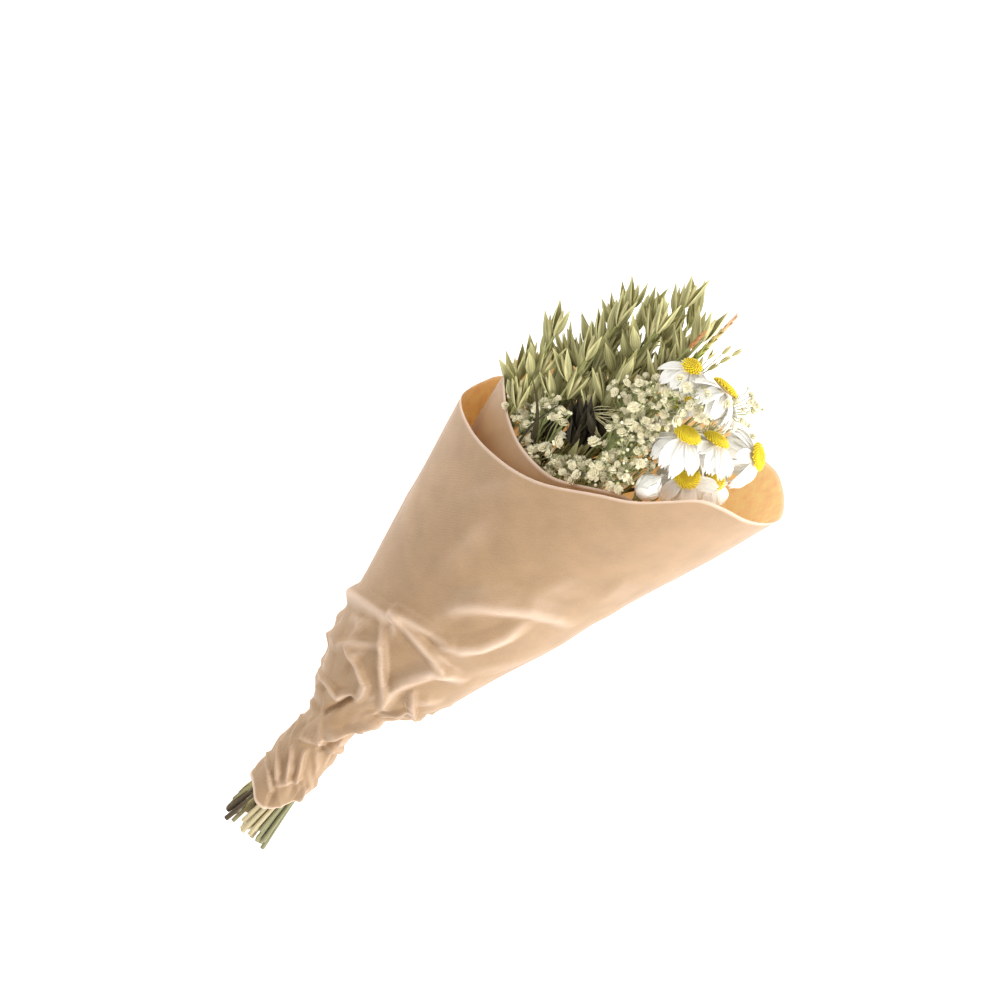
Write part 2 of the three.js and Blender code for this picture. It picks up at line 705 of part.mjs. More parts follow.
// two pointed husks that open in a V at the end of their stalk, as one closed skin
function spikelet(root, head, length, open) {
  const { skin, foot } = stalkSkin(root, head, OAT.stalk);
  const w = OAT.width / 2;
  const t = OAT.thick / 2;
  const wide = length * 0.44;
  const gape = Math.tan(rad(open)) * length;
  const ring = skin.add([
    head.point(t, 0, wide), head.point(0, w, wide), head.point(-t, 0, wide), head.point(0, -w, wide),
  ]);
  const [front, left, back, right] = ring;
  const [crotch, tip, other] = skin.add([
    head.point(0, 0, wide * 1.25), head.point(gape, 0, length), head.point(-gape, 0, length),
  ]);
  skin.bridge(foot, ring);
  skin.index.push(front, left, tip, right, front, tip, left, crotch, tip, crotch, right, tip);
  skin.index.push(left, back, other, back, right, other, right, crotch, other, crotch, left, other);
  return skin.close();
}

function stemForward(stem, along) {
  return stemPoint(stem, along).sub(stemPoint(stem, along - 2)).normalize();
}

// a way that leans out from the stem by an angle, at a turn round it
function leaning(forward, turn, lean) {
  const across = sideways(forward);
  const high = new THREE.Vector3().crossVectors(across, forward);
  const out = across.multiplyScalar(Math.cos(turn)).addScaledVector(high, Math.sin(turn));
  return forward.clone().multiplyScalar(Math.cos(lean)).addScaledVector(out, Math.sin(lean));
}

// each husk claims its own middle line, so that a V that opens wide still leaves room between its tips
function spikeletFits(name, root, joint, aim, face, length, open) {
  const gape = Math.tan(rad(open)) * length * 0.8;
  const lines = [-gape, gape].map((side) => [
    joint, joint.clone().addScaledVector(aim, length * 0.9).addScaledVector(face, side),
  ]);
  const free = isClear(name, root, joint, 0.6) && within(root, joint, 0.8)
    && lines.every(([a, b]) => isClear(name, a, b, OAT.room) && within(a, b, OAT.width / 2));
  if (free) {
    claim(name, root, joint, 0.6);
    lines.forEach(([a, b]) => claim(name, a, b, OAT.room));
  }
  return free;
}

function oatPanicle(i) {
  const name = `oat_panicle_${i + 1}`;
  const stem = stemNamed(name);
  const random = draws(700 + i);
  const pieces = [stem.body];
  const last = (stem.head[2] > -10 ? OAT.spikelets : OAT.fewer) - 1;
  for (let k = last; k >= 0; k -= 1) {
    const f = k / last;
    const along = stem.head[0] - OAT.panicle * (1 - f) * (1 - 0.25 * f);
    const forward = stemForward(stem, along);
    const swept = forward.clone().applyAxisAngle(way(0, 0, 1), rad(OAT.sweep));
    const spin = k * GOLDEN + random() * 0.8;
    const length = OAT.glume * (0.9 + 0.2 * random());
    const open = THREE.MathUtils.lerp(...OAT.open, random());
    const roll = (random() - 0.5) * OAT.roll;
    const stalk = THREE.MathUtils.lerp(...OAT.stalks, f);
    for (let attempt = 0; attempt < 9; attempt += 1) {
      const lean = rad(THREE.MathUtils.lerp(...OAT.lean, f) * (1 - attempt * 0.07));
      const turn = spin + attempt * 0.9;
      const root = stemPoint(stem, along - attempt * 2 * (1 - f));
      const joint = root.clone().addScaledVector(leaning(forward, turn, lean), stalk);
      const aim = leaning(swept, turn, lean * 0.6);
      const face = leaning(aim, roll + attempt * 0.4, Math.PI / 2);
      if (spikeletFits(name, root, joint, aim, face, length, open)) {
        const head = axes(joint, aim, face);
        pieces.push(spikelet(stalk > 2 ? root : root.addScaledVector(forward, -2), head, length, open));
        break;
      }
    }
  }
  addNode(name, fuse(pieces), FINISH.oat);
}

// ---- Baby's breath ----

// a small ball of a bloom on its twig
function bloom(root, head, radius) {
  const { skin, foot } = stalkSkin(root, head, GYPS.twig);
  const ring = skin.add(ringAt(head, radius, radius * 0.8, 5));
  const [heart] = skin.add([head.point(0, 0, radius * 1.5)]);
  skin.bridge(foot, ring);
  skin.fan(ring, heart);
  return skin.close();
}

function babysBreath(i) {
  const name = `babys_breath_${i + 1}`;
  const stem = stemNamed(name);
  const random = draws(900 + i);
  const pieces = [stem.body];
  for (const cluster of SPRAYS[i]) {
    const branch = branchTo(name, stem, cluster, random);
    if (branch) {
      const root = branch.fork.clone().addScaledVector(stemForward(stem, stem.head[0]), -1.5);
      pieces.push(twig(root, branch.end, GYPS.twig * 1.4, GYPS.twig * 1.2));
      for (let k = 0; k < GYPS.blooms; k += 1) {
        bloomOn(name, cluster, branch.end.clone().lerp(branch.fork, 0.03 + 0.1 * k), random, pieces);
      }
    }
  }
  addNode(name, fuse(pieces), FINISH.spray);
}

// a branch from the end of the stem towards a cluster, or from lower down where that way is taken
function branchTo(name, stem, cluster, random) {
  for (let attempt = 0; attempt < 20; attempt += 1) {
    const fork = stemPoint(stem, stem.head[0] - 2.5 * attempt);
    const end = fork.clone().lerp(bloomPlace(cluster, random, 0.6), 0.7);
    if (isClear(name, fork, end, 0.7) && within(fork, end, 1)) {
      claim(name, fork, end, 0.7);
      return { fork, end };
    }
  }
  return null;
}

function bloomPlace(cluster, random, reach) {
  const offset = GYPS.reach.map((size) => size * reach * (random() * 2 - 1));
  return at(cluster[0] + offset[0], cluster[1] + offset[1], cluster[2] + offset[2]);
}

function bloomOn(name, cluster, branch, random, pieces) {
  for (let attempt = 0; attempt < 30; attempt += 1) {
    const place = bloomPlace(cluster, random, 1);
    const forward = place.clone().sub(branch).normalize();
    const low = place.clone().addScaledVector(forward, -1);
    const high = place.clone().addScaledVector(forward, 1);
    const free = isClear(name, low, high, GYPS.bloom * 0.9) && isClear(name, branch, place, 0.5);
    const start = branch.clone().addScaledVector(forward, 2);
    if (free && ownClear(name, start, place) && within(branch, place, 3)) {
      claim(name, low, high, GYPS.bloom * 0.9);
      claim(name, branch, place, 0.5);
      const face = leaning(forward, random() * 6, 0.4);
      const size = GYPS.bloom * (0.85 + 0.3 * random());
      const head = axes(place.clone().addScaledVector(face, -size * 0.5), face, sideways(face));
      pieces.push(bloom(branch, head, size));
      return;
    }
  }
}

// blooms and twigs of one spray keep apart too, so that each twig meets only its branch
function ownClear(name, start, place) {
  return claims.every((other) => other.owner !== name
    || segmentDistance(start, place, other.from, other.to) > other.radius + 0.7);
}

// ---- The closed bud, the grass spike and the dock tip ----

function budHead() {
  const centre = at(...BUD.at);
  const face = way(...BUD.face);
  const r = BUD.radius;
  const l = BUD.length;
  const profile = [
    [0, 0.4], [r * 0.55, 0.8], [r, l * 0.36], [r * 0.86, l * 0.62], [r * 0.36, l * 0.9], [0, l],
  ];
  const egg = new THREE.LatheGeometry(profile.map((p) => new THREE.Vector2(p[0], p[1])), 8);
  const pieces = [placed(egg, centre, face, sideways(face))];
  for (let k = 0; k < 5; k += 1) {
    const turn = k * GOLDEN;
    const out = leaning(face, turn, Math.PI / 2);
    const rise = 1.5 + (k % 3) * 1.5;
    const root = centre.clone().addScaledVector(face, rise).addScaledVector(out, r * 0.5);
    const forward = face.clone().addScaledVector(out, 0.32);
    const outline = [[0, 0, 0], [3.2, l * 0.4, -0.4], [0, l * 0.72, -2], [-3.2, l * 0.4, -0.4]];
    const bract = blade(outline, 1.4, [l * 0.36, 0.3]);
    pieces.push(placed(bract, root, forward, out));
  }
  addNode('bud_bracts', fuse(pieces), FINISH.bud);
  const stem = stemNamed('bud');
  const cup = twig(centre.clone().addScaledVector(face, -3.5), centre, 1.2, 3, 7);
  addNode('bud_stem', fuse([stem.body, cup]), FINISH.stem);
}

// overlapping scales up the end of a stem
function scaledTip(name, tip, length, width, scales, material) {
  const stem = stemNamed(name);
  const base = stemPoint(stem, stem.head[0]);
  const end = at(...tip);
  const forward = end.clone().sub(base).normalize();
  const root = base.clone().addScaledVector(forward, -1.5);
  const pieces = [stem.body, twig(root, end, stem.radius, 0.3, 4)];
  for (let k = 0; k < scales; k += 1) {
    const f = k / scales;
    const foot = base.clone().lerp(end, f * 0.8);
    const scale = width * (1 - 0.5 * f);
    const long = length * 0.3;
    const out = leaning(forward, k * GOLDEN, rad(12));
    const face = leaning(forward, k * GOLDEN, Math.PI / 2);
    const outline = [[0, 0, 0], [scale, long * 0.4, 0], [0, long, 0], [-scale, long * 0.4, 0]];
    const husk = blade(outline, 1.2, [long * 0.4, 0.5]);
    const point = foot.clone().addScaledVector(out, long);
    if (isClear(name, foot, point, scale)) {
      pieces.push(placed(husk, foot, out, face));
      claim(name, foot, point, scale);
    }
  }
  addNode(name, fuse(pieces), material);
}

// ---- The tie round the stems ----

function tie() {
  const middle = coneAt(NECK).middle;
  const inner = { x: BUNDLE.across + 0.4, y: BUNDLE.high + 0.4 };
  const ring = new THREE.Shape();
  ring.absellipse(0, 0, inner.x + TIE.thick, inner.y + TIE.thick, 0, Math.PI * 2);
  const hole = new THREE.Path();
  hole.absellipse(0, 0, inner.x, inner.y, 0, Math.PI * 2);
  ring.holes.push(hole);
  const settings = { depth: TIE.width, bevelEnabled: false, curveSegments: 10 };
  const band = new THREE.ExtrudeGeometry(ring, settings);
  const basis = new THREE.Matrix4().makeBasis(way(0, 1, 0), way(0, 0, 1), way(-1, 0, 0));
  basis.setPosition(at(NECK + TIE.width / 2, middle, 0));
  return band.applyMatrix4(basis);
}

// ---- The whole bouquet: what is stiff first, then what bends round it ----

function claimHead(name, flower, radius, depth) {
  const centre = at(...flower.at);
  const face = way(...flower.face);
  claim(name, centre.clone(), centre.clone().addScaledVector(face, depth), radius);
  claim(name, centre.clone().addScaledVector(face, -5), centre, 3);
}

DAISIES.forEach((daisy, i) => claimHead(`daisy_${i + 1}`, daisy, DAISY.disc * daisy.heart, 2));
claimHead('bud', BUD, BUD.radius, BUD.length - 5);

addNode('kraft_wrapper', wrapper(), FINISH.paper);
addNode('neck_tie', tie(), FINISH.tie);
DAISIES.forEach(daisyHead);
budHead();
scaledTip('grass_spike', SPIKE.tip, SPIKE.length, 1.7, SPIKE.scales, FINISH.dock);
scaledTip('dock_tip', DOCK.tip, DOCK.length, 1.6, 4, FINISH.dock);
SPRAYS.forEach((spray, i) => babysBreath(i));
OAT_TIPS.forEach((tip, i) => oatPanicle(i));

export default bouquet;
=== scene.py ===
"""A dried flower bouquet in a cone of kraft paper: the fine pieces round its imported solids."""

import math

import bmesh
import bpy
import numpy as np
from mathutils import Matrix, Vector, noise


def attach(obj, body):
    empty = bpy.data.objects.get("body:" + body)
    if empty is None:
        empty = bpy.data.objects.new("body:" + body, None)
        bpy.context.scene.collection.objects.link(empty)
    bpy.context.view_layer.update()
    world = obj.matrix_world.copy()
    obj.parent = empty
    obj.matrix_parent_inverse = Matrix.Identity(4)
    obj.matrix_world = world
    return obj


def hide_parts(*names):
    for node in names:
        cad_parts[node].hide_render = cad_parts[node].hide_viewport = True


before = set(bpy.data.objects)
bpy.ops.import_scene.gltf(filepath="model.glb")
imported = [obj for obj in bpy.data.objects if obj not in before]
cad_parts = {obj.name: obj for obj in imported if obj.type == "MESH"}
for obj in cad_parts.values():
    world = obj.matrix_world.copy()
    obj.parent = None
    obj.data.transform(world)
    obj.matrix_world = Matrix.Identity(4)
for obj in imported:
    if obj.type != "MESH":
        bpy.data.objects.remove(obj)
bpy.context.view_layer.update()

bl_info = {
    "name": "Dried Flower Bouquet",
    "version": (1, 0, 0),
    "blender": (4, 5, 0),
    "location": "3D View > Sidebar > Bouquet",
    "description": "Dresses the bouquet's solids in kraft paper, oats, daisies and baby's breath",
    "category": "Object",
}

MM = 0.001
TURN = 2 * math.pi
# the turn between one floret or bract and the next in a flower's spiral
GOLDEN_TURN = 2.39996

# ---- Where things are: millimetres along the bouquet's axis, to its right and up from it ----

AXIS_RISE = math.radians(10.25)
CUT_END_HEIGHT = 11.9
MIDDLE = (224.1, -9.7)

LAYER_STEP = 1.5
PAPER_START = 50
PAPER_SWEEP = 550
SOLID_PAPER = 1.0
# ridges round the solid's neck: how many, their slant, depth and phase
FOLDS = [(3, 1.9, 2.3, 40), (5, -2.6, 1.4, 130)]

# along, reach to the left, reach to the right
OUTLINE = [
    [24, 15.5, 20.8], [42, 15.2, 20.9], [56, 16.4, 20.2], [68, 17.5, 18.7], [78, 16.4, 17.9],
    [87, 15.0, 16.4], [97, 19.0, 15.3], [108, 26.6, 17.0], [120, 33.3, 21.0], [133, 38.3, 32.6],
    [150, 44.6, 42.6], [178, 50.5, 50.6], [215, 60.3, 60.3], [265, 73.0, 72.0], [310, 85.4, 84.2],
    [345, 94.4, 93.6], [402, 108, 108],
]
# angle of the sheet, along: its edge at the mouth and its edge round the stems
MOUTH_EDGE = [
    [50, 352], [30, 351], [20, 350], [11, 343], [0, 332.5], [-7, 327], [-15, 324.6], [-28, 323.7],
    [-47, 326], [-64, 330.5], [-86, 333.5], [-112, 335], [-126, 343], [-160, 370], [-200, 388],
    [-220, 392], [-235, 397], [-248, 394.5], [-261, 391.5], [-278, 390], [-302, 386], [-318, 384.5],
    [-325, 380.5], [-332, 368.5], [-340, 354.5], [-349, 344.5], [-370, 321.5], [-396, 310],
    [-422, 308], [-450, 308], [-467, 313], [-500, 330],
]
STEM_EDGE = [
    [50, 38], [-90, 28], [-180, 34], [-270, 43], [-294, 41], [-313, 33], [-333, 25.5], [-350, 22.5],
    [-370, 23], [-390, 27], [-416, 29], [-450, 28], [-500, 30],
]
# angle of the sheet, width of that turn over the width of the outermost one
TIGHTNESS = [
    [50, 0.93], [11, 0.885], [-7, 0.868], [-28, 0.845], [-47, 0.80], [-64, 0.795], [-86, 0.82],
    [-112, 0.906], [-126, 0.965], [-150, 1], [-500, 1],
]

NECK = 88
STEM_GAP = 0.45
OAT = dict(radius=1.1, panicle=94, spikelets=9, fewer=6, glume=22, width=6.2, open=(4, 18),
           lean=(52, 30), sweep=math.radians(26), stalks=(16, 1), roll=3.2, room=2.1)
GYPS = dict(radius=0.7, blooms=5, bloom=3.2, reach=(9, 8, 6), fork=30)
DAISY = dict(radius=0.9, disc=7.2, petals=12, width=6.9, hub=4.4, overlap=12)
# what the scene has over the solids: blooms a cluster, spikelets a panicle
MORE_BLOOMS = 16
MORE_SPIKELETS = 7

# tip of each oat panicle: along, right, up
OAT_TIPS = [
    [361, -75, 12], [376, -74, 31], [401, -77, 40], [405, -54, 44], [430, -55, 35], [441, -56, 23],
    [445, -36, 42], [463, -35, 25], [462, -25, 18], [459, -14, 38], [437, -46, 5], [397, -63, 10],
    [423, -16, 42], [428, -38, -16], [410, -30, 44], [412, -32, -50],
]
# three places where each spray of baby's breath blooms
SPRAYS = [
    [[334, -55, 30], [335, -44, 38], [326, -38, 40]], [[351, -40, 45], [350, -26, 50], [341, -20, 52]],
    [[327, -22, 49], [331, -10, 55], [343, -6, 57]], [[358, 3, 60], [351, 9, 62], [341, 5, 61]],
    [[365, 21, 63], [374, 14, 61], [354, 18, 64]], [[368, -1, 57], [379, -1, 57], [376, 6, 59]],
    [[395, -17, 50], [398, -6, 55], [400, 1, 57]], [[389, 2, 59], [394, 8, 60], [386, 10, 60]],
    [[411, 0, 57], [416, 9, 62], [407, 12, 58]], [[421, 23, 63], [432, 39, 50], [444, 30, 45]],
    [[402, 58, -24], [392, 40, -44], [380, 12, -58]],
]
# middle of each daisy, the way it faces, length of its petals and how far they rise from the
# flower's plane, and the width of its disc over the usual one
DAISIES = [
    ([427, 2, 55], [0.85, -0.21, 0.48], 14, -42, 0.74),
    ([430, 24, 50], [0.97, -0.03, -0.25], 20, -50, 1.1),
    ([405, 10, 33], [0.6, -0.1, 0.8], 9, -20, 1),
    ([397, 28, 57], [0.93, -0.23, 0.28], 20, -54, 1.06),
    ([404, 42, 45], [0.97, -0.23, 0.08], 18, -50, 1),
    ([380, 44, 53], [0.56, -0.07, 0.83], 14, -40, 1),
    ([387, 57, 43], [0.77, 0.22, 0.6], 15, -42, 0.8),
    ([410, 65, 23], [0.77, 0.61, 0.2], 18, -50, 1.06),
    ([383, 20, 36], [0.73, -0.14, 0.67], 8, 0, 0.8),
]
# the dark hollow between the oats and the front sprays, where the oat husks are painted dark brown as shade: its
# middle, and its reach to each side
HOLLOW = dict(along=352, right=-17, long=30, wide=15)
# where thin dry whiskers fan out of the hollow, then their tips
WHISKERS = [[366, -21, 44], [377, 9, 47], [388, 2, 49], [384, -7, 48], [357, -3, 47], [370, 6, 47]]
# a small sprig of grass beside the topmost daisy: its foot, then its spikelets
SPRIG = [[421, 7, 47], [431, 4, 48], [434, 10, 47], [439, 5, 49], [442, 12, 47], [447, 9, 49], [450, 14, 48]]
BUD = dict(at=[355, 32, 63], face=[0.95, 0.05, 0.3], radius=7, length=19, stem=0.9)
SPIKE = dict(tip=[464, 0, 30], radius=0.9, length=46, width=1.7, scales=6)
DOCK = dict(tip=[448, -7, 51], radius=0.8, length=14, width=1.6, scales=4)


def at(along, right, up):
    """A place in the bouquet as a point of the part, in millimetres."""
    rise, run = math.sin(AXIS_RISE), math.cos(AXIS_RISE)
    along, right, up = np.broadcast_arrays(along, right, up)
    return np.stack([
        along * run - up * rise - MIDDLE[0],
        -right - MIDDLE[1],
        CUT_END_HEIGHT + along * rise + up * run,
    ], -1)


def unit(vector):
    return vector / np.linalg.norm(vector)


ORIGIN = at(0, 0, 0)


def way(along, right, up):
    return unit(at(along, right, up) - ORIGIN)


FORWARD, RIGHTWARD, UPWARD = way(1, 0, 0), way(0, 1, 0), way(0, 0, 1)


def draws(seed):
    """Repeatable draws between 0 and 1, one stream for each plant piece."""
    state = (seed * 7919 + 104729) % 2147483647

    def draw():
        nonlocal state
        state = state * 16807 % 2147483647
        return state / 2147483647

    draw()
    draw()
    return draw


def through(knots, x, column=1):
    """Smooth curve through [x, y, ...] rows, with x rising or falling."""
    table = np.array(knots, float)
    if table[-1, 0] < table[0, 0]:
        table = table[::-1]
    xs, ys = table[:, 0], table[:, column]
    i = np.clip(np.searchsorted(xs, x) - 1, 0, len(xs) - 2)
    slopes = np.diff(ys) / np.diff(xs)
    width = xs[i + 1] - xs[i]
    t = np.clip((x - xs[i]) / width, 0, 1)
    here = slopes[i]
    before = slopes[np.maximum(i - 1, 0)]
    after = slopes[np.minimum(i + 1, len(slopes) - 1)]
    m0 = np.where(before * here > 0, (before + here) / 2, 0)
    m1 = np.where(after * here > 0, (after + here) / 2, 0)
    s = t * t * (3 - 2 * t)
    return ys[i] + (ys[i + 1] - ys[i]) * s + width * (m0 * t * (1 - t) ** 2 - m1 * t * t * (1 - t))


def ease(x, low, high):
    t = np.clip((x - low) / (high - low), 0, 1)
    return t * t * (3 - 2 * t)


def lerp(ends, t):
    return ends[0] + (ends[1] - ends[0]) * t


def cone_at(along):
    """Half widths of the paper at a place along the axis, and how far its middle lies to the right."""
    left = through(OUTLINE, along, 1)
    right = through(OUTLINE, along, 2)
    across = (left + right) / 2
    return across, across * (0.95 - 0.1 * ease(along, 90, 180)), (right - left) / 2


def folds(angle, along):
    strength = ease(along, 80, 124) * (1 - ease(along, 150, 215))
    turns = [(angle * ridges + along * twist * ridges + phase) / 360 for ridges, twist, _, phase in FOLDS]
    waves = [(np.abs(turn - np.floor(turn) - 0.5) * 4 - 0.7) * fold[2] for turn, fold in zip(turns, FOLDS)]
    return sum(waves) * strength


def inset_at(angle, along, across):
    spiral = LAYER_STEP * (angle - PAPER_START + PAPER_SWEEP) / 360
    return spiral + (1 - through(TIGHTNESS, angle)) * across * ease(along, 100, 260)


def inside_paper(along, right, up, radius):
    """Is a ball of this radius inside the paper, or past its mouth?"""
    across, high, middle = cone_at(along)
    angle = np.degrees(np.arctan2((right - middle) / across, up / high))
    angle = np.where(angle > PAPER_START, angle - 360, angle)
    inset = inset_at(angle, along, across) + SOLID_PAPER + radius - folds(angle, along)
    x = (right - middle) / (across - inset)
    y = up / (high - inset)
    held = (x * x + y * y < 1) & (at(along, right, up)[..., 2] > SOLID_PAPER + radius)
    return held | (along > through(MOUTH_EDGE, angle) + radius)


def in_hollow(point):
    """1 in the dark hollow, fading to 0 round it."""
    along = (point - ORIGIN) @ FORWARD - HOLLOW["along"]
    right = (point - ORIGIN) @ RIGHTWARD - HOLLOW["right"]
    far, aside = (along + right) / HOLLOW["long"], (along - right) / HOLLOW["wide"]
    near = 1 - ease(math.hypot(far, aside) * math.sqrt(0.5), 0.55, 1.15)
    return float(near * ease((point - ORIGIN) @ UPWARD, 0, 25))


SHARES = np.array([0.15, 0.3, 0.45, 0.6, 0.8, 1])


def within(start, end, radius):
    points = start + SHARES[:, None] * (end - start) - ORIGIN
    return bool(inside_paper(points @ FORWARD, points @ RIGHTWARD, points @ UPWARD, radius).all())


# ---- What has been placed so far, as capsules that later pieces keep clear of ----

class Taken:
    def __init__(self, room=16000):
        self.start, self.reach = np.zeros((room, 3)), np.zeros((room, 3))
        self.radius, self.owner = np.zeros(room), np.zeros(room, int)
        self.count = 0
        self.owners = {}

    def claim(self, owner, start, end, radius):
        n = self.count
        self.start[n], self.reach[n], self.radius[n] = start, end - start, radius
        self.owner[n] = self.owners.setdefault(owner, len(self.owners) + 1)
        self.count += 1

    def gaps(self, start, end):
        """From a line to the middle of every capsule, less the capsule's radius."""
        n = self.count
        v, u, w = self.reach[:n], end - start, start - self.start[:n]
        uu, vv, uv = u @ u, (v * v).sum(1), v @ u
        uw, vw = w @ u, (v * w).sum(1)
        det = uu * vv - uv * uv
        s = np.where(det > 1e-9, np.clip((uv * vw - vv * uw) / np.maximum(det, 1e-9), 0, 1), 0)
        t = np.clip((uv * s + vw) / np.maximum(vv, 1e-9), 0, 1)
        s = np.clip((uv * t - uw) / uu, 0, 1)
        return np.linalg.norm(w + s[:, None] * u - t[:, None] * v, axis=1) - self.radius[:n]

    def clear(self, owner, start, end, radius, gap=STEM_GAP, own=False):
        """Is a line of this radius clear of what other owners placed, or of what its own placed?"""
        counted = (self.owner[:self.count] == self.owners.get(owner, 0)) == own
        return not (counted & (self.gaps(start, end) <= radius + gap)).any()


# ---- Axes and directions ----

def axes(origin, forward, face):
    """Rows x, y, z at a place: z forward, x towards the face, y round to its left."""
    z = unit(forward)
    y = unit(np.cross(z, face))
    return origin, np.array([np.cross(y, z), y, z])


def place(frame_at, points):
    """Points given in a frame's own axes, as points of the part."""
    return frame_at[0] + np.asarray(points, float) @ frame_at[1]


def sideways(forward):
    return unit(np.cross(forward, UPWARD))


def leaning(forward, turn, lean):
    """A way that leans out from another by an angle, at a turn round it."""
    across = sideways(forward)
    out = across * math.cos(turn) + np.cross(across, forward) * math.sin(turn)
    return forward * math.cos(lean) + out * math.sin(lean)


def turned_left(vector, angle):
    """A way turned to the left round the bouquet's own upward direction."""
    kept = UPWARD * (UPWARD @ vector)
    return kept + (vector - kept) * math.cos(angle) + np.cross(UPWARD, vector) * math.sin(angle)


# ---- Stems: pressed together at the neck, bent to their heads above it, turned open below it ----

class Stem:
    def __init__(self, name, head, radius, owner, seed):
        self.name, self.head, self.radius, self.owner, self.seed = name, head, radius, owner, seed
        self.slot = (0.0, 0.0)

    def share(self, along):
        return np.clip((along - NECK) / (self.head[0] - NECK), 0, 1) ** 1.25

    def point(self, along):
        if along >= NECK:
            k = self.share(along)
            right, up = (self.slot[i] * (1 - k) + self.head[i + 1] * k for i in (0, 1))
            return at(along, right, up)
        down = (NECK - along) / NECK
        widen, turn = down ** 1.6, math.radians(26) * down
        x, y = self.slot[0] - NECK_MIDDLE, self.slot[1]
        shift = ease(NECK - along, 0, 50) * (cone_at(40)[2] - NECK_MIDDLE) + 4 * widen
        right = (x * math.cos(turn) - y * math.sin(turn)) * (1 + 1.05 * widen)
        up = (x * math.sin(turn) + y * math.cos(turn)) * (1 + 0.26 * widen)
        return at(along, NECK_MIDDLE + shift + right, up)

    def forward(self, along):
        return unit(self.point(along) - self.point(along - 2))

    def levels(self):
        """Where the solid's stem has its corners."""
        rest = self.head[0] - 210
        parts = math.ceil(rest / 75)
        upper = [210 + rest * i / parts for i in range(1, parts + 1)]
        return [-6 + 15 * draws(self.seed)(), 42, NECK, 110, 145, 210] + upper

    def line(self, count):
        """Places along the stem, closer together round the neck, and the points there."""
        low = np.linspace(self.levels()[0], NECK, count)
        high = NECK + (self.head[0] - NECK) * np.linspace(0, 1, 2 * count)[1:] ** 1.4
        levels = np.concatenate([low, high])
        return levels, np.array([self.point(along) for along in levels])


NECK_MIDDLE = float(cone_at(NECK)[2])


def behind(centre, face, distance):
    """The place this far behind a flower, away from the way it faces."""
    length = math.hypot(*face)
    return [value - face[i] / length * distance for i, value in enumerate(centre)]


def stem_list():
    stems = []

    def add_stem(name, head, radius, owner=None):
        stems.append(Stem(name, head, radius, owner or name, len(stems) + 1))

    back, aside = OAT["glume"] * math.cos(OAT["sweep"]), OAT["glume"] * math.sin(OAT["sweep"])
    for i, (along, right, up) in enumerate(OAT_TIPS, 1):
        add_stem(f"oat_panicle_{i}", [along - back, right + aside, up], OAT["radius"])
    for i, spray in enumerate(SPRAYS, 1):
        along, right, up = (sum(cluster[k] for cluster in spray) / 3 for k in range(3))
        add_stem(f"babys_breath_{i}", [along - GYPS["fork"], right * 0.86, up * 0.86], GYPS["radius"])
    for i, daisy in enumerate(DAISIES, 1):
        add_stem(f"daisy_{i}", behind(daisy[0], daisy[1], 6), DAISY["radius"], f"daisy_{i}_stem")
    add_stem("bud", behind(BUD["at"], BUD["face"], 1), BUD["stem"], "bud_stem")
    for name, tip in (("grass_spike", SPIKE), ("dock_tip", DOCK)):
        along, right, up = tip["tip"]
        add_stem(name, [along - tip["length"], right, up], tip["radius"])
    return stems


def settle_slots(stems):
    """Slots start as a small copy of the heads' places and push each other apart at every level."""
    levels = (NECK, 94, 102, 114, 130, 152, 180, 197, 215, 235, 255, 285)
    shares = [[float(stem.share(level)) for level in levels] for stem in stems]
    slots = [[NECK_MIDDLE + stem.head[1] * 0.12, stem.head[2] * 0.12] for stem in stems]
    for _ in range(400):
        for i, one in enumerate(stems):
            for j, other in enumerate(stems[:i]):
                least = one.radius + other.radius + STEM_GAP
                a, b = slots[i], slots[j]
                for k, m in zip(shares[i], shares[j]):
                    dx = a[0] * (1 - k) + one.head[1] * k - b[0] * (1 - m) - other.head[1] * m
                    dy = a[1] * (1 - k) + one.head[2] * k - b[1] * (1 - m) - other.head[2] * m
                    distance = math.sqrt(dx * dx + dy * dy) + 1e-6
                    if distance < least:
                        push = (least - distance) / distance * 0.3
                        a[0] += dx * push
                        a[1] += dy * push
                        b[0] -= dx * push
                        b[1] -= dy * push
        for stem, slot in zip(stems, slots):
            x = (slot[0] - NECK_MIDDLE) / (9.6 - stem.radius)
            y = slot[1] / (9.2 - stem.radius)
            out = math.sqrt(x * x + y * y)
            if out > 1:
                slot[0] = NECK_MIDDLE + (slot[0] - NECK_MIDDLE) / out
                slot[1] /= out
    for stem, slot in zip(stems, slots):
        stem.slot = tuple(slot)


# ---- The plan: where every petal, spikelet and bloom goes, in the order of the solids ----

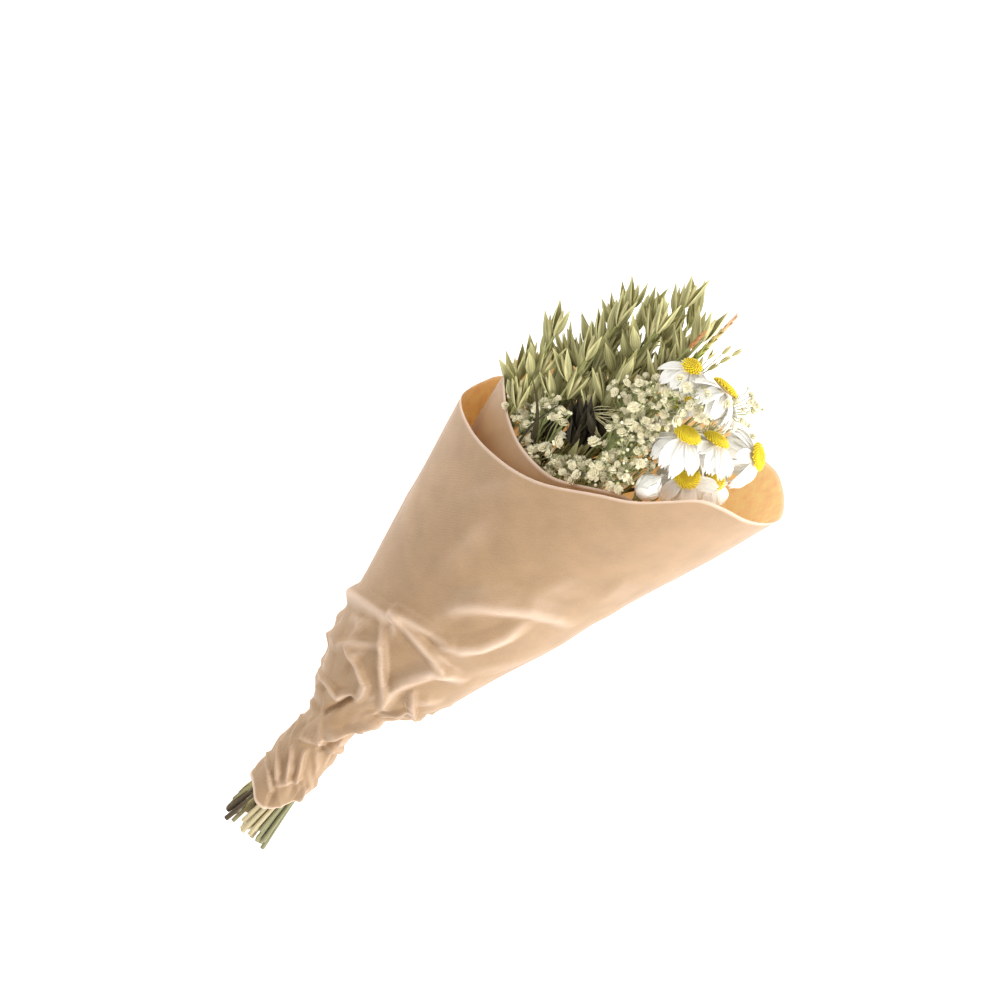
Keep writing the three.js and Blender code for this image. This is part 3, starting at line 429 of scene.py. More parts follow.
class Plan:
    def __init__(self):
        taken = Taken()
        self.clear, self.claim = taken.clear, taken.claim
        stems = stem_list()
        settle_slots(stems)
        self.stems = {stem.name: stem for stem in stems}
        for stem in stems:
            corners = [stem.point(along) for along in stem.levels()]
            for start, end in zip(corners[:-1], corners[1:]):
                self.claim(stem.owner, start, end, stem.radius)
        for i, (centre, face, _, _, heart) in enumerate(DAISIES, 1):
            self.claim_head(f"daisy_{i}", centre, face, DAISY["disc"] * heart, 2)
        self.claim_head("bud", BUD["at"], BUD["face"], BUD["radius"], BUD["length"] - 5)
        self.daisies = [self.daisy(i) for i in range(len(DAISIES))]
        self.claim_scales("grass_spike", SPIKE)
        self.claim_scales("dock_tip", DOCK)
        self.sprays = [self.spray(i) for i in range(len(SPRAYS))]
        self.oats = [self.panicle(i) for i in range(len(OAT_TIPS))]
        for i, clusters in enumerate(self.sprays):
            self.more_blooms(i, clusters)
        for i, spikelets in enumerate(self.oats):
            self.more_spikelets(i, spikelets)
        self.leaves = {name: self.dry_leaves(i, name) for i, name in enumerate(self.stems)
                       if name.startswith(("oat", "babys"))}

    def claim_head(self, name, centre, face, radius, depth):
        centre, face = at(*centre), way(*face)
        self.claim(name, centre, centre + face * depth, radius)
        self.claim(name, centre - face * 5, centre, 3)

    def claim_scales(self, name, tip):
        base, end = at(*self.stems[name].head), at(*tip["tip"])
        forward, length = unit(end - base), tip["length"] * 0.3
        for k in range(tip["scales"]):
            f = k / tip["scales"]
            foot, scale = base + (end - base) * f * 0.8, tip["width"] * (1 - 0.5 * f)
            point = foot + leaning(forward, k * 2.4, math.radians(12)) * length
            if self.clear(name, foot, point, scale):
                self.claim(name, foot, point, scale)

    def daisy(self, i):
        centre, face, petal, rise, _ = DAISIES[i]
        forward = way(*face)
        flower = axes(at(*centre), forward, leaning(forward, math.pi / 2, math.pi / 2))
        draw, petals = draws(500 + i), []
        for k in range(DAISY["petals"]):
            turn = (k + 0.5) / DAISY["petals"] * TURN
            length = petal * (0.9 + 0.2 * draw())
            width = DAISY["width"] * (0.92 + 0.08 * draw())
            up = rise + k % 2 * DAISY["overlap"]
            petals.append(self.petal(f"daisy_{i + 1}", flower, turn, length, width, up))
        return flower, petals

    def petal(self, name, flower, turn, length, width, rise):
        """The first shape of petal that is clear of its neighbours, as turn, length, width, rise."""
        for share in (1, 0.6, 0.3):
            for bend in (0, -12, 12, -26, 26, 40):
                petal = fitted(turn, length * share, width * (0.4 + 0.6 * share), rise + bend)
                if petal[3] < 36 and self.petal_clear(name, flower, petal):
                    return petal
        return (turn, 1.5, 2, 0)

    def petal_clear(self, name, flower, petal):
        turn, _, width, _ = petal
        paths = [(side, *petal_path(petal, share)) for side, share in ((0.5, 0), (1, 0.5), (0.8, 1))]
        lines = []
        for x in (-0.38, 0, 0.38):
            root, middle, tip = (place(flower, around(turn, far, x * side * width, lift))
                                 for side, far, lift in paths)
            lines += [(root, middle), (middle, tip)]
        good = all(self.clear(name, a, b, 0.8) and within(a, b, 1) for a, b in lines)
        if good:
            for a, b in lines:
                self.claim(name, a, b, 0.8)
        return good

    def spray(self, i):
        """Clusters of one spray: a fork on the stem, the end of the branch, and rows of blooms."""
        name, draw, clusters = f"babys_breath_{i + 1}", draws(900 + i), []
        for centre in SPRAYS[i]:
            branch = self.branch(name, centre, draw)
            if branch:
                fork, end = branch
                blooms = []
                for k in range(GYPS["blooms"]):
                    self.bloom(name, centre, end + (fork - end) * (0.03 + 0.1 * k), draw, blooms)
                clusters.append((centre, fork, end, blooms))
        return clusters

    def branch(self, name, centre, draw):
        stem = self.stems[name]
        for attempt in range(20):
            fork = stem.point(stem.head[0] - 2.5 * attempt)
            end = fork + (bloom_place(centre, draw, 0.6) - fork) * 0.7
            if self.clear(name, fork, end, 0.7) and within(fork, end, 1):
                self.claim(name, fork, end, 0.7)
                return fork, end
        return None

    def bloom(self, name, centre, root, draw, blooms):
        for _ in range(30):
            spot = bloom_place(centre, draw, 1)
            forward = unit(spot - root)
            low, high, radius = spot - forward, spot + forward, GYPS["bloom"] * 0.9
            free = self.clear(name, low, high, radius) and self.clear(name, root, spot, 0.5)
            free = free and self.clear(name, root + forward * 2, spot, 0.7, 0, own=True)
            if free and within(root, spot, 3):
                self.claim(name, low, high, radius)
                self.claim(name, root, spot, 0.5)
                face = leaning(forward, draw() * 6, 0.4)
                blooms.append((root, spot, face, GYPS["bloom"] * (0.85 + 0.3 * draw())))
                return

    def more_blooms(self, i, clusters):
        """Smaller blooms and buds between the ones that the solids have."""
        name, draw = f"babys_breath_{i + 1}", draws(1900 + i)
        for centre, fork, end, blooms in clusters:
            for k in range(MORE_BLOOMS):
                least, spread = (0.62, 0.35) if k < MORE_BLOOMS * 0.4 else (0.3, 0.25)
                size = GYPS["bloom"] * (least + spread * draw())
                root = end + (fork - end) * (0.4 * draw())
                for _ in range(14):
                    spot = bloom_place(centre, draw, 1.1)
                    forward = unit(spot - root)
                    low, high = spot - forward, spot + forward
                    free = self.clear(name, low, high, size * 0.45, 0, own=True)
                    free = free and in_hollow(spot) < 0.5 and self.clear(name, low, high, size * 0.5, 0)
                    if free and within(low, high, size * 0.6):
                        self.claim(name, low, high, size * 0.55)
                        blooms.append((root, spot, leaning(forward, draw() * 6, 0.5), size))
                        break

    def panicle(self, i):
        """Spikelets of one oat head: rows of root, joint, aim, face, length, opening."""
        draw, spikelets = draws(700 + i), []
        stem = self.stems[f"oat_panicle_{i + 1}"]
        last = (OAT["spikelets"] if stem.head[2] > -10 else OAT["fewer"]) - 1
        for k in range(last, -1, -1):
            f = k / last
            spin = k * 2.4 + draw() * 0.8
            length = OAT["glume"] * (0.9 + 0.2 * draw())
            opening = lerp(OAT["open"], draw())
            self.spikelet(stem, f, spin, length, opening, (draw() - 0.5) * OAT["roll"], spikelets)
        return spikelets

    def spikelet(self, stem, f, spin, length, opening, roll, spikelets,
                 room=OAT["room"], wide=OAT["width"] / 2):
        along = stem.head[0] - OAT["panicle"] * (1 - f) * (1 - 0.25 * f)
        forward, stalk = stem.forward(along), lerp(OAT["stalks"], f)
        swept = turned_left(forward, OAT["sweep"])
        for attempt in range(9):
            lean = math.radians(lerp(OAT["lean"], f) * (1 - attempt * 0.07))
            turn = spin + attempt * 0.9
            root = stem.point(along - attempt * 2 * (1 - f))
            joint = root + leaning(forward, turn, lean) * stalk
            aim = leaning(swept, turn, lean * 0.6)
            face = leaning(aim, roll + attempt * 0.4, math.pi / 2)
            gape = face * math.tan(math.radians(opening)) * length * 0.8
            tips = [joint + aim * length * 0.9 - gape, joint + aim * length * 0.9 + gape]
            free = self.clear(stem.name, root, joint, 0.6) and within(root, joint, 0.8)
            if free and all(self.clear(stem.name, joint, tip, room) and within(joint, tip, wide)
                            for tip in tips):
                self.claim(stem.name, root, joint, 0.6)
                for tip in tips:
                    self.claim(stem.name, joint, tip, room)
                foot = root if stalk > 2 else root - forward * 2
                spikelets.append((foot, joint, aim, face, length, opening))
                return

    def more_spikelets(self, i, spikelets):
        draw, stem = draws(1700 + i), self.stems[f"oat_panicle_{i + 1}"]
        for k in range(MORE_SPIKELETS):
            f, length = 0.2 + 0.55 * draw(), OAT["glume"] * (0.7 + 0.25 * draw())
            spin, opening, roll = draw() * TURN, 3 + 14 * draw(), (draw() - 0.5) * 3
            self.spikelet(stem, f, spin, length, opening, roll, spikelets, 1.3, 2)

    # the withered leaves are dark sheets put inside the cone, a painted shade that darkens the gaps between the
    # stems
    def dry_leaves(self, i, name):
        """Withered leaves on an oat or a spray, inside the cone: rows of line and width."""
        draw, stem, leaves = draws(2300 + i), self.stems[name], []
        for k in range(5):
            root_at, length = stem.head[0] - 190 + 120 * draw(), 45 + 40 * draw()
            for _ in range(10):
                forward = stem.forward(root_at)
                start = stem.point(root_at)
                tip = start + leaning(forward, draw() * TURN, math.radians(14 + 26 * draw())) * length
                sag = sideways(forward) * (draw() - 0.5) * 18 + UPWARD * (draw() - 0.3) * 10
                line = bowed(start, tip, sag, 12)
                free = self.clear(name, line[4], line[8], 1.2, 0) and within(start, tip, 4)
                free = free and self.clear(name, line[8], tip, 1.0, 0)
                if free and within(line[4], line[8], 4):
                    self.claim(name, line[4], line[8], 1)
                    self.claim(name, line[8], tip, 1)
                    leaves.append((line, 2.5 + 2.5 * draw()))
                    break
        return leaves


def around(turn, far, side, lift):
    """A point in a flower's own axes, from how far out, how far aside and how high it is."""
    c, s = math.cos(turn), math.sin(turn)
    return np.stack([far * c - side * s, far * s + side * c, lift + 0 * far], -1)


def petal_path(petal, share):
    """How far out and how high a petal has got at a share of its length: it bends more at its tip."""
    bend = math.radians(petal[3]) * (0.35 + 0.65 * share)
    return DAISY["hub"] + petal[1] * share * np.cos(bend), petal[1] * share * np.sin(bend)


def fitted(turn, length, width, rise):
    """A petal of the solid, which is no wider than its share of the ring."""
    petal = (turn, length, width, rise)
    reach = min(petal_path(petal, 0.62)[0], petal_path(petal, 1)[0] / 0.6)
    room = reach * math.tan(math.pi / DAISY["petals"])
    return (turn, length, min(width, 2 * (room - 0.15)), rise)


def bloom_place(centre, draw, reach):
    offset = [size * reach * (draw() * 2 - 1) for size in GYPS["reach"]]
    return at(*(centre[i] + offset[i] for i in range(3)))


_plans = []


def plan():
    if not _plans:
        _plans.append(Plan())
    return _plans[0]


# ---- Meshes ----

def quads(ids):
    return np.stack([ids[:-1, :-1], ids[1:, :-1], ids[1:, 1:], ids[:-1, 1:]], -1).reshape(-1, 4)


def slab(top, under):
    """Closed skin of a thin sheet: a grid of points on top and the same grid under it."""
    rows, columns = top.shape[:2]
    ids = np.arange(rows * columns).reshape(rows, columns)
    low = ids + rows * columns
    faces = [quads(ids), quads(low)[:, ::-1]]
    for line, base, turned in ((ids[:, 0], low[:, 0], 1), (ids[:, -1], low[:, -1], 0),
                               (ids[-1], low[-1], 1), (ids[0], low[0], 0)):
        rim = np.stack([line[:-1], line[1:], base[1:], base[:-1]], -1)
        faces.append(rim[:, ::-1] if turned else rim)
    return np.concatenate([top.reshape(-1, 3), under.reshape(-1, 3)]), faces


def barrel(rings):
    """Closed skin round rings of points, with a cap at each end."""
    count, sides = rings.shape[:2]
    ids = np.arange(count * sides).reshape(count, sides)
    faces = [quads(np.concatenate([ids, ids[:, :1]], 1)), ids[:1, ::-1], ids[-1:]]
    return rings.reshape(-1, 3), faces


def circle(sides):
    turn = np.arange(sides) / sides * TURN
    return np.stack([np.cos(turn), np.sin(turn), np.zeros(sides)], -1)


def lathe(profile, sides):
    """Rings round z through [radius, height] rows."""
    return np.array([circle(sides) * radius + [0, 0, height] for radius, height in profile])


def tube(line, radii, sides):
    """Rings round a line of points, carried along it without a twist."""
    line = np.asarray(line, float)
    forward = np.gradient(line, axis=0)
    side, rings = np.cross(forward[0], [0.3, 0.5, 0.8]), []
    for point, ahead, radius in zip(line, forward, np.broadcast_to(radii, len(line))):
        ahead = unit(ahead)
        side = unit(side - ahead * (side @ ahead))
        ring = circle(sides)
        rings.append(point + radius * (ring[:, :1] * side + ring[:, 1:2] * np.cross(ahead, side)))
    return np.array(rings)


def bowed(start, end, sag, steps):
    """A line between two places, bowed sideways by a vector."""
    t = np.linspace(0, 1, steps)[:, None]
    return start + (end - start) * t + sag * (4 * t * (1 - t))


def grid(rows, columns):
    """Shares along a thin sheet, 0 to 1, and places across it, -1 to 1."""
    return np.linspace(0, 1, rows)[:, None], np.linspace(-1, 1, columns)[None, :]


def sheet_marks(across, along, value=0.0):
    """The marks of a thin sheet, the same on top and under it."""
    mark = np.stack(np.broadcast_arrays(across, along, value + 0 * along), -1).reshape(-1, 3)
    return np.concatenate([mark, mark])


class Skin:
    """The points, faces and marks of one piece, gathered part by part. A mark is three numbers at a point that the
    materials read: across, along, and a draw that is the same all over one part. On the paper they are the place
    on the flat sheet and how pale it is painted there, a painted highlight along its edges and on the crests of
    its creases."""

    def __init__(self):
        self.points, self.marks, self.faces, self.slots, self.count = [], [], [], [], 0

    def put(self, shape, marks=(0, 0, 0), slot=0):
        points, faces = shape
        self.points.append(points)
        self.marks.append(np.broadcast_to(marks, points.shape))
        for block in faces:
            self.faces += (np.asarray(block) + self.count).tolist()
            self.slots += [slot] * len(block)
        self.count += len(points)

    def put_tube(self, line, radii, sides, draw, slot=0, cut_slot=None, start=200):
        rings = tube(line, radii, sides)
        steps = np.linalg.norm(np.diff(line, axis=0), axis=1)
        along = start + np.repeat(np.concatenate([[0], np.cumsum(steps)]), sides)
        around = np.tile(np.arange(sides) / sides, len(rings))
        marks = np.stack([around, along, np.full(len(along), draw)], -1)
        self.put(barrel(rings), marks, slot)
        if cut_slot is not None:
            self.slots[-2] = cut_slot

    def put_turned(self, where, profile, sides, marks, slot=0):
        """A closed form turned round the z of a frame."""
        self.put(barrel(place(where, lathe(profile, sides))), marks, slot)

    def make(self, name, materials, sharp=None):
        """The piece as an object: faces all out, smooth but for edges over the sharp angle."""
        mesh = bpy.data.meshes.new(name)
        mesh.from_pydata((np.concatenate(self.points) * MM).tolist(), [], self.faces)
        mesh.polygons.foreach_set("material_index", self.slots)
        mesh.attributes.new("mark", "FLOAT_VECTOR", "POINT")
        marks = np.concatenate(self.marks).astype(np.float32).ravel()
        mesh.attributes["mark"].data.foreach_set("vector", marks)
        work = bmesh.new()
        work.from_mesh(mesh)
        bmesh.ops.recalc_face_normals(work, faces=work.faces)
        work.to_mesh(mesh)
        work.free()
        mesh.shade_smooth()
        if sharp:
            mesh.set_sharp_from_angle(angle=math.radians(sharp))
        for material in materials:
            mesh.materials.append(material)
        piece = bpy.data.objects.new(name, mesh)
        bpy.context.scene.collection.objects.link(piece)
        return piece


def dress(piece, slot, *nodes):
    """The piece rides on the bouquet and stands for CAD nodes, which it hides; the slot is not used."""
    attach(piece, "root")
    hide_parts(*nodes)


# ---- Materials ----

def srgb(code):
    """An sRGB hex colour as linear red, green, blue and 1."""
    values = [int(code[i:i + 2], 16) / 255 for i in (1, 3, 5)]
    return tuple(v / 12.92 if v <= 0.04045 else ((v + 0.055) / 1.055) ** 2.4 for v in values) + (1.0,)


def shade(colour, factor):
    return tuple(value * factor for value in colour[:3]) + (1.0,)


def add(tree, kind, sockets=None, out=0, **settings):
    """Adds a shader node with its settings, sets or links its inputs, and gives one of its outputs."""
    node = tree.nodes.new("ShaderNode" + kind)
    stops = settings.pop("stops", ())
    for key, value in settings.items():
        setattr(node, key, value)
    for key, value in (sockets or {}).items():
        if isinstance(value, bpy.types.NodeSocket):
            tree.links.new(value, node.inputs[key])
        else:
            node.inputs[key].default_value = value
    for k, (position, colour) in enumerate(stops):
        ramp = node.color_ramp.elements
        stop = ramp.new(position) if 0 < k < len(stops) - 1 else ramp[-1 if k else 0]
        stop.position, stop.color = position, colour
    return node.outputs[out]


# settings of a node that mixes two colours, plainly or by multiplying them; its result is output 2
MIXED = dict(data_type="RGBA", out=2)
MULTIPLIED = dict(MIXED, blend_type="MULTIPLY")


def material(name, colour, roughness, sockets=None):
    """A new material and its tree, the marks of the mesh, and the marks one by one."""
    made = bpy.data.materials.new(name)
    made.use_nodes = True
    tree = made.node_tree
    shader = tree.nodes["Principled BSDF"]
    for key, value in {"Base Color": colour, "Roughness": roughness, **(sockets or {})}.items():
        shader.inputs[key].default_value = value
    mark = add(tree, "Attribute", out="Vector", attribute_name="mark")
    return made, tree, mark, add(tree, "SeparateXYZ", {0: mark}).node.outputs


def ribs_over(tree, across, phase):
    """Lengthwise ribs: a cosine that turns by a phase from the middle to a rim."""
    turn = add(tree, "Math", {0: across, 1: phase}, operation="MULTIPLY")
    return add(tree, "Math", {0: turn}, operation="COSINE")


def finished(made, colour, height, distance, strength=0.5):
    """The material with its last links: a colour, if it varies, and a bump of so many millimetres."""
    tree = made.node_tree
    shader = tree.nodes["Principled BSDF"]
    if colour:
        tree.links.new(colour, shader.inputs["Base Color"])
    bump = add(tree, "Bump", {"Strength": strength, "Distance": distance * MM, "Height": height})
    tree.links.new(bump, shader.inputs["Normal"])
    return made


def kraft_paper(name, colour, mottled, cloud, roughness, glow):
    """Machine-glazed kraft paper, rolled: pale brown pulp in soft clouds with a few darker fibres and fine ribs
    from the drying felt, satin on its glazed face, pale where one looks along it. It is painted paler along the
    crests of its creases and near its edges, a painted highlight. Some light passes through it, and it also glows
    a little orange by itself, a painted glow for that light."""
    # painted glow: an orange emission that rises with the subsurface weight stands in for light passing through
    # the paper
    made, tree, mark, parts = material(name, colour, roughness, {
        "Sheen Weight": 0.55, "Sheen Roughness": 0.22, "Sheen Tint": srgb("#FFE6DC"),
        "Specular IOR Level": 0.65, "Subsurface Weight": glow, "Subsurface Radius": (1.0, 0.8, 0.55),
        "Subsurface Scale": 0.0012, "Emission Color": srgb("#F2AC62"), "Emission Strength": glow * 0.35})
    slant = TURN / FELT_RIB * math.sqrt(0.5)
    phase = add(tree, "VectorMath", {0: mark, 1: (slant, slant, 0.0)}, "Value", operation="DOT_PRODUCT")
    ribs = add(tree, "Math", {0: phase}, operation="SINE")
    pulp = add(tree, "TexNoise", {"Vector": mark, "Scale": 1 / cloud, "Detail": 5, "Roughness": 0.6})
    fibres = add(tree, "TexNoise", {"Vector": mark, "Scale": 1.1, "Detail": 4, "Roughness": 0.7})
    tone = add(tree, "ValToRGB", {0: pulp}, stops=[
        (0.3, shade(colour, 1 - mottled)), (0.5, colour), (0.72, shade(colour, 1 + mottled))])
    specks = add(tree, "ValToRGB", {0: fibres}, stops=[
        (0.36, (0.86, 0.82, 0.76, 1)), (0.5, (1, 1, 1, 1)), (0.66, (1.07, 1.06, 1.05, 1))])
    mixed = add(tree, "Mix", {0: 0.6, 6: tone, 7: specks}, **MULTIPLIED)
    # painted highlight: the third mark mixes in a pale pink on the crease crests and near the paper's edges
    wear_and_highlight = add(tree, "Mix", {0: parts[2], 6: mixed, 7: srgb("#F5DCC8")}, **MIXED)
    return finished(made, wear_and_highlight, ribs, 0.05)


def oat_husk(name, green, straw):
    """Dried oat husks: thin, ribbed, matt chaff that fades from grey green to straw at rim and tip; those in the
    dark hollow and deeper in the bunch are painted dark brown, a painted shade."""
    made, tree, mark, parts = material(name, green, 0.62, {"Sheen Weight": 0.12})
    rim = add(tree, "Math", {0: parts[0]}, operation="ABSOLUTE")
    rim = add(tree, "Math", {0: rim, 1: 6.0}, operation="POWER")
    tip = add(tree, "Math", {0: parts[1], 1: 3.5}, operation="POWER")
    faded = add(tree, "Math", {0: rim, 1: tip}, operation="MAXIMUM")
    aged = add(tree, "Math", {0: parts[2], 1: 0.4, 2: -0.12}, operation="MULTIPLY_ADD")
    faded = add(tree, "Math", {0: faded, 1: aged}, operation="ADD", use_clamp=True)
    base = add(tree, "Mix", {0: faded, 6: green, 7: straw}, **MIXED)
    ribs = ribs_over(tree, parts[0], 4.5 * math.pi)
    tone = add(tree, "Math", {0: ribs, 1: 0.12, 2: 0.5}, operation="MULTIPLY_ADD")
    soft = add(tree, "TexNoise", {"Vector": mark, "Scale": 3.0, "Detail": 4})
    tone = add(tree, "Math", {0: soft, 1: 0.6, 2: tone}, operation="MULTIPLY_ADD")
    # the husks are lighter on each rib's crest and darker in its grooves, a painted shade, and they also vary in
    # random patches
    lit = add(tree, "ValToRGB", {0: tone}, stops=[(0.5, (0.5, 0.48, 0.36, 1)), (1.0, (1.25, 1.22, 1.08, 1))])
    fresh = add(tree, "Mix", {0: 1.0, 6: base, 7: lit}, **MULTIPLIED)
    # painted shade: a mark below 0 mixes in dark brown
    hollow_shade = add(tree, "MapRange", {0: parts[2], 1: 0.0, 2: -1.0})
    final = add(tree, "Mix", {0: hollow_shade, 6: fresh, 7: srgb("#2A2206")}, **MIXED)
    return finished(made, final, ribs, 0.12)


def dried_stalk(name, colour, straw):
    """Dried stalks: matt and ribbed. Up among the flowers they keep their olive; towards their cut
    ends each has aged its own way, from dark brown over olive to pale straw."""
    made, tree, mark, parts = material(name, colour, 0.7)
    ages = ((0.08, "#55452F"), (0.26, "#8A8866"), (0.5, "#96936C"), (0.7, "#BFB189"), (0.95, "#D8C9A4"))
    aged = add(tree, "ValToRGB", {0: parts[2]}, stops=[(age, srgb(code)) for age, code in ages])
    upper = add(tree, "MapRange", {0: parts[1], 1: 60.0, 2: 120.0})
    base = add(tree, "Mix", {0: upper, 6: aged, 7: colour}, **MIXED)
    space = add(tree, "Mapping", {"Vector": mark, "Scale": (1.5, 0.05, 9.0)})
    patches = add(tree, "TexNoise", {"Vector": space, "Scale": 1.0, "Detail": 4})
    wear_and_highlight = add(tree, "ValToRGB", {0: patches}, stops=[(0.3, (0.6, 0.56, 0.5, 1)), (0.5, (1, 1, 1, 1))])
    tone = add(tree, "Mix", {0: 1.0, 6: base, 7: wear_and_highlight}, **MULTIPLIED)
    pale = add(tree, "MapRange", {0: patches, 1: 0.56, 2: 0.72})
    final = add(tree, "Mix", {0: pale, 6: tone, 7: straw}, **MIXED)
    return finished(made, final, ribs_over(tree, parts[0], 6 * TURN), 0.1, 0.4)


def plain_plant(name, code):
    """Cut pith, cups and withered leaves: matt, dry and soft-toned, a little uneven in colour."""
    colour = srgb(code)
    made, tree, mark, _ = material(name, colour, 0.8)
    soft = add(tree, "TexNoise", {"Vector": mark, "Scale": 1.3, "Detail": 4})
    tone = add(tree, "ValToRGB", {0: soft}, stops=[(0.3, shade(colour, 0.62)), (0.7, shade(colour, 1.2))])
    return finished(made, tone, soft, 0.15, 0.4)


def papery_petal(name, colour, shadow, veins_across):
    """Dried petals and bracts: thin, dry and papery, white with faint lengthwise veins, and light passes through
    them. They are painted greyer towards their root and a little between their raised veins, a painted shade."""
    made, tree, mark, parts = material(name, colour, 0.55, {
        "Sheen Weight": 0.3, "Subsurface Weight": 0.3, "Subsurface Radius": (1.0, 1.0, 1.0),
        "Subsurface Scale": 0.003})
    veins = ribs_over(tree, parts[0], veins_across * math.pi)
    soft = add(tree, "TexNoise", {"Vector": mark, "Scale": 2.2, "Detail": 3})
    tone = add(tree, "Math", {0: veins, 1: 0.13, 2: parts[1]}, operation="MULTIPLY_ADD")
    tone = add(tree, "Math", {0: soft, 1: 0.45, 2: tone}, operation="MULTIPLY_ADD")
    white = add(tree, "ValToRGB", {0: tone}, stops=[(0.05, shadow), (0.42, colour), (1.0, colour)])
    return finished(made, white, veins, 0.12, 0.45)


def floret_dome(name, colour, old):
    """Disc florets: hundreds of tiny matt yellow tubes, painted golden brown towards each floret's foot and over
    the dome beneath them, a painted shade between the florets.
    """
    made, tree, mark, parts = material(name, colour, 0.8, {"Sheen Weight": 0.3})
    tone = add(tree, "ValToRGB", {0: parts[1]}, stops=[(0.0, shade(old, 0.8)), (0.45, old), (0.75, colour)])
    return finished(made, tone, add(tree, "TexNoise", {"Vector": mark, "Scale": 7.0}), 0.1)


def scaly_bud(name, colour, tip):
    """Dried grass and dock scales: matt, thin, coloured from their root to their tip."""
    made, tree, _, parts = material(name, colour, 0.75)
    tone = add(tree, "ValToRGB", {0: parts[1]}, stops=[(0.35, colour), (0.9, tip)])
    return finished(made, tone, ribs_over(tree, parts[0], 3 * math.pi), 0.1)


def jute_twine(name, colour):
    """Jute twine: matt golden brown, with the twist of its strands about 1.7 mm apart, painted darker in the
    grooves between the strands, a painted shade.
    """
    made, tree, _, _ = material(name, colour, 0.9, {"Sheen Weight": 0.4})
    where = add(tree, "NewGeometry", out="Position")
    slant = add(tree, "VectorMath", {0: where, 1: (2600.0, 1900.0, 1900.0)}, "Value", operation="DOT_PRODUCT")
    strands = add(tree, "Math", {0: slant}, operation="SINE")
    # painted shade: darker where the strands' bump is low
    tone = add(tree, "ValToRGB", {0: strands}, stops=[(0.0, shade(colour, 0.55)), (1.0, shade(colour, 1.15))])
    return finished(made, tone, strands, 0.3)


# ---- Kraft paper ----

# spacing of the felt's ribs in the paper, coarser than real so that they show
FELT_RIB = 1.5
# the mesh: degrees between columns, rows up to a share of the length and rows from there to the mouth
COLUMN_STEP = 1.25
TWISTED_ROWS, TWISTED_SHARE, MOUTH_ROWS = 150, 0.62, 46
# how much the creases and the slow waves lift the paper, in their own heights
CREASE_LIFT, WAVE_LIFT = 2.4, 1.1
# the flat sheet: its centre behind the cut ends, and degrees of it to a degree round the cone
SHEET_APEX, UNROLLED = 18, 0.25
# Ridges and valleys pressed into the paper: width of each flank, then angle, along and height
CREASES = [
    (7, 8, [(-85, 167, 1.6), (-74, 168, 2.6), (-52, 176, 3.0), (-33, 183, 3.0), (-18, 188, 2.4), (-14, 181, 1.0)]),
    (6, 6, [(-22, 192, 2.0), (-5, 198, 2.4), (13, 203, 0.8)]),
    (6, 6, [(-20, 191, 2.0), (0, 190, 2.4), (23, 187, 2.0), (33, 183, 0)]),
    (13, 8, [(-1, 213, 0), (4, 226, 1.8), (11, 237, 2.4), (30, 255, 2.7), (44, 260, 2.0), (63, 260, 0)]),
    (10, 8, [(14, 199, 1.4), (22, 205, 2.4), (29, 215, 3.0), (34, 231, 2.2), (35, 250, 0.3)]),
    (8, 8, [(13, 158, 0.8), (17, 170, 1.8), (22, 181, 2.8), (33, 185, 2.6), (51, 188, 0)]),
    (6, 7, [(25, 137, 0.8), (17, 149, 1.8), (15, 160, 2.0), (22, 174, 1.4), (33, 188, 0)]),
    (4, 4, [(-26, 180, 0.8), (-12, 167, 2.2), (4, 153, 2.4), (30, 134, 1.2)]),
    (4, 5, [(-48, 141, 0.9), (-31, 156, 1.9), (-17, 167, 1.0)]),
    (4, 4, [(-32, 147, 1.6), (-16, 145, 2.2), (0, 140, 2.4), (10, 125, 1.2)]),
    (4, 4, [(-68, 114, 0.8), (-30, 117, 2.0), (-6, 117, 2.4), (0, 127, 1.4)]),
    (3, 3, [(-18, 100, -1.6), (1, 112, -2.6), (5, 124, -2.2)]),
    (4, 3, [(2, 84, 1.4), (42, 100, 3.0), (58, 119, 2.6), (70, 130, 0.6)]),
    (3, 3, [(17, 80, -1.4), (38, 94, -2.2), (54, 105, -2.4), (68, 114, -0.6)]),
    (3, 4, [(49, 126, 1.0), (44, 136, 2.4), (46, 146, 1.0)]),
    (4, 3, [(28, 158, 1.0), (40, 149, 2.2), (60, 140, 2.2), (72, 143, 0.8)]),
    (3, 3, [(-25, 77, 1.6), (7, 83, 1.6), (80, 85, 1.4)]),
    (2.5, 2.5, [(-76, 47, 1.0), (-30, 44, 1.6), (0, 36, 1.2)]),
    (2.5, 2.5, [(-62, 60, 0.8), (-31, 54, 1.6), (-10, 45, 1.2)]),
    (2.5, 2.5, [(-26, 67, 1.0), (-10, 60, 1.6), (7, 50, 1.2)]),
    (2.5, 2.5, [(-1, 72, 1.0), (14, 62, 1.6), (25, 52, 1.0)]),
    (3, 3, [(-2, 42, 1.0), (11, 49, 1.6), (25, 55, 1.0)]),
    (3, 4, [(87, 34, 0.8), (67, 36, 1.6), (60, 43, 1.8), (56, 50, 1.0)]),
]


def slanting(angle, along, slant, reach, heights, shares=(-0.5, -0.1, 0.5)):
    """Knots of a straight crease through a place on the cone, at a slant to its length."""
    across = float(cone_at(along)[0])
    return [(angle + math.degrees(t * reach * math.sin(slant) / across),
             along + t * reach * math.cos(slant), height) for t, height in zip(shares, heights)]


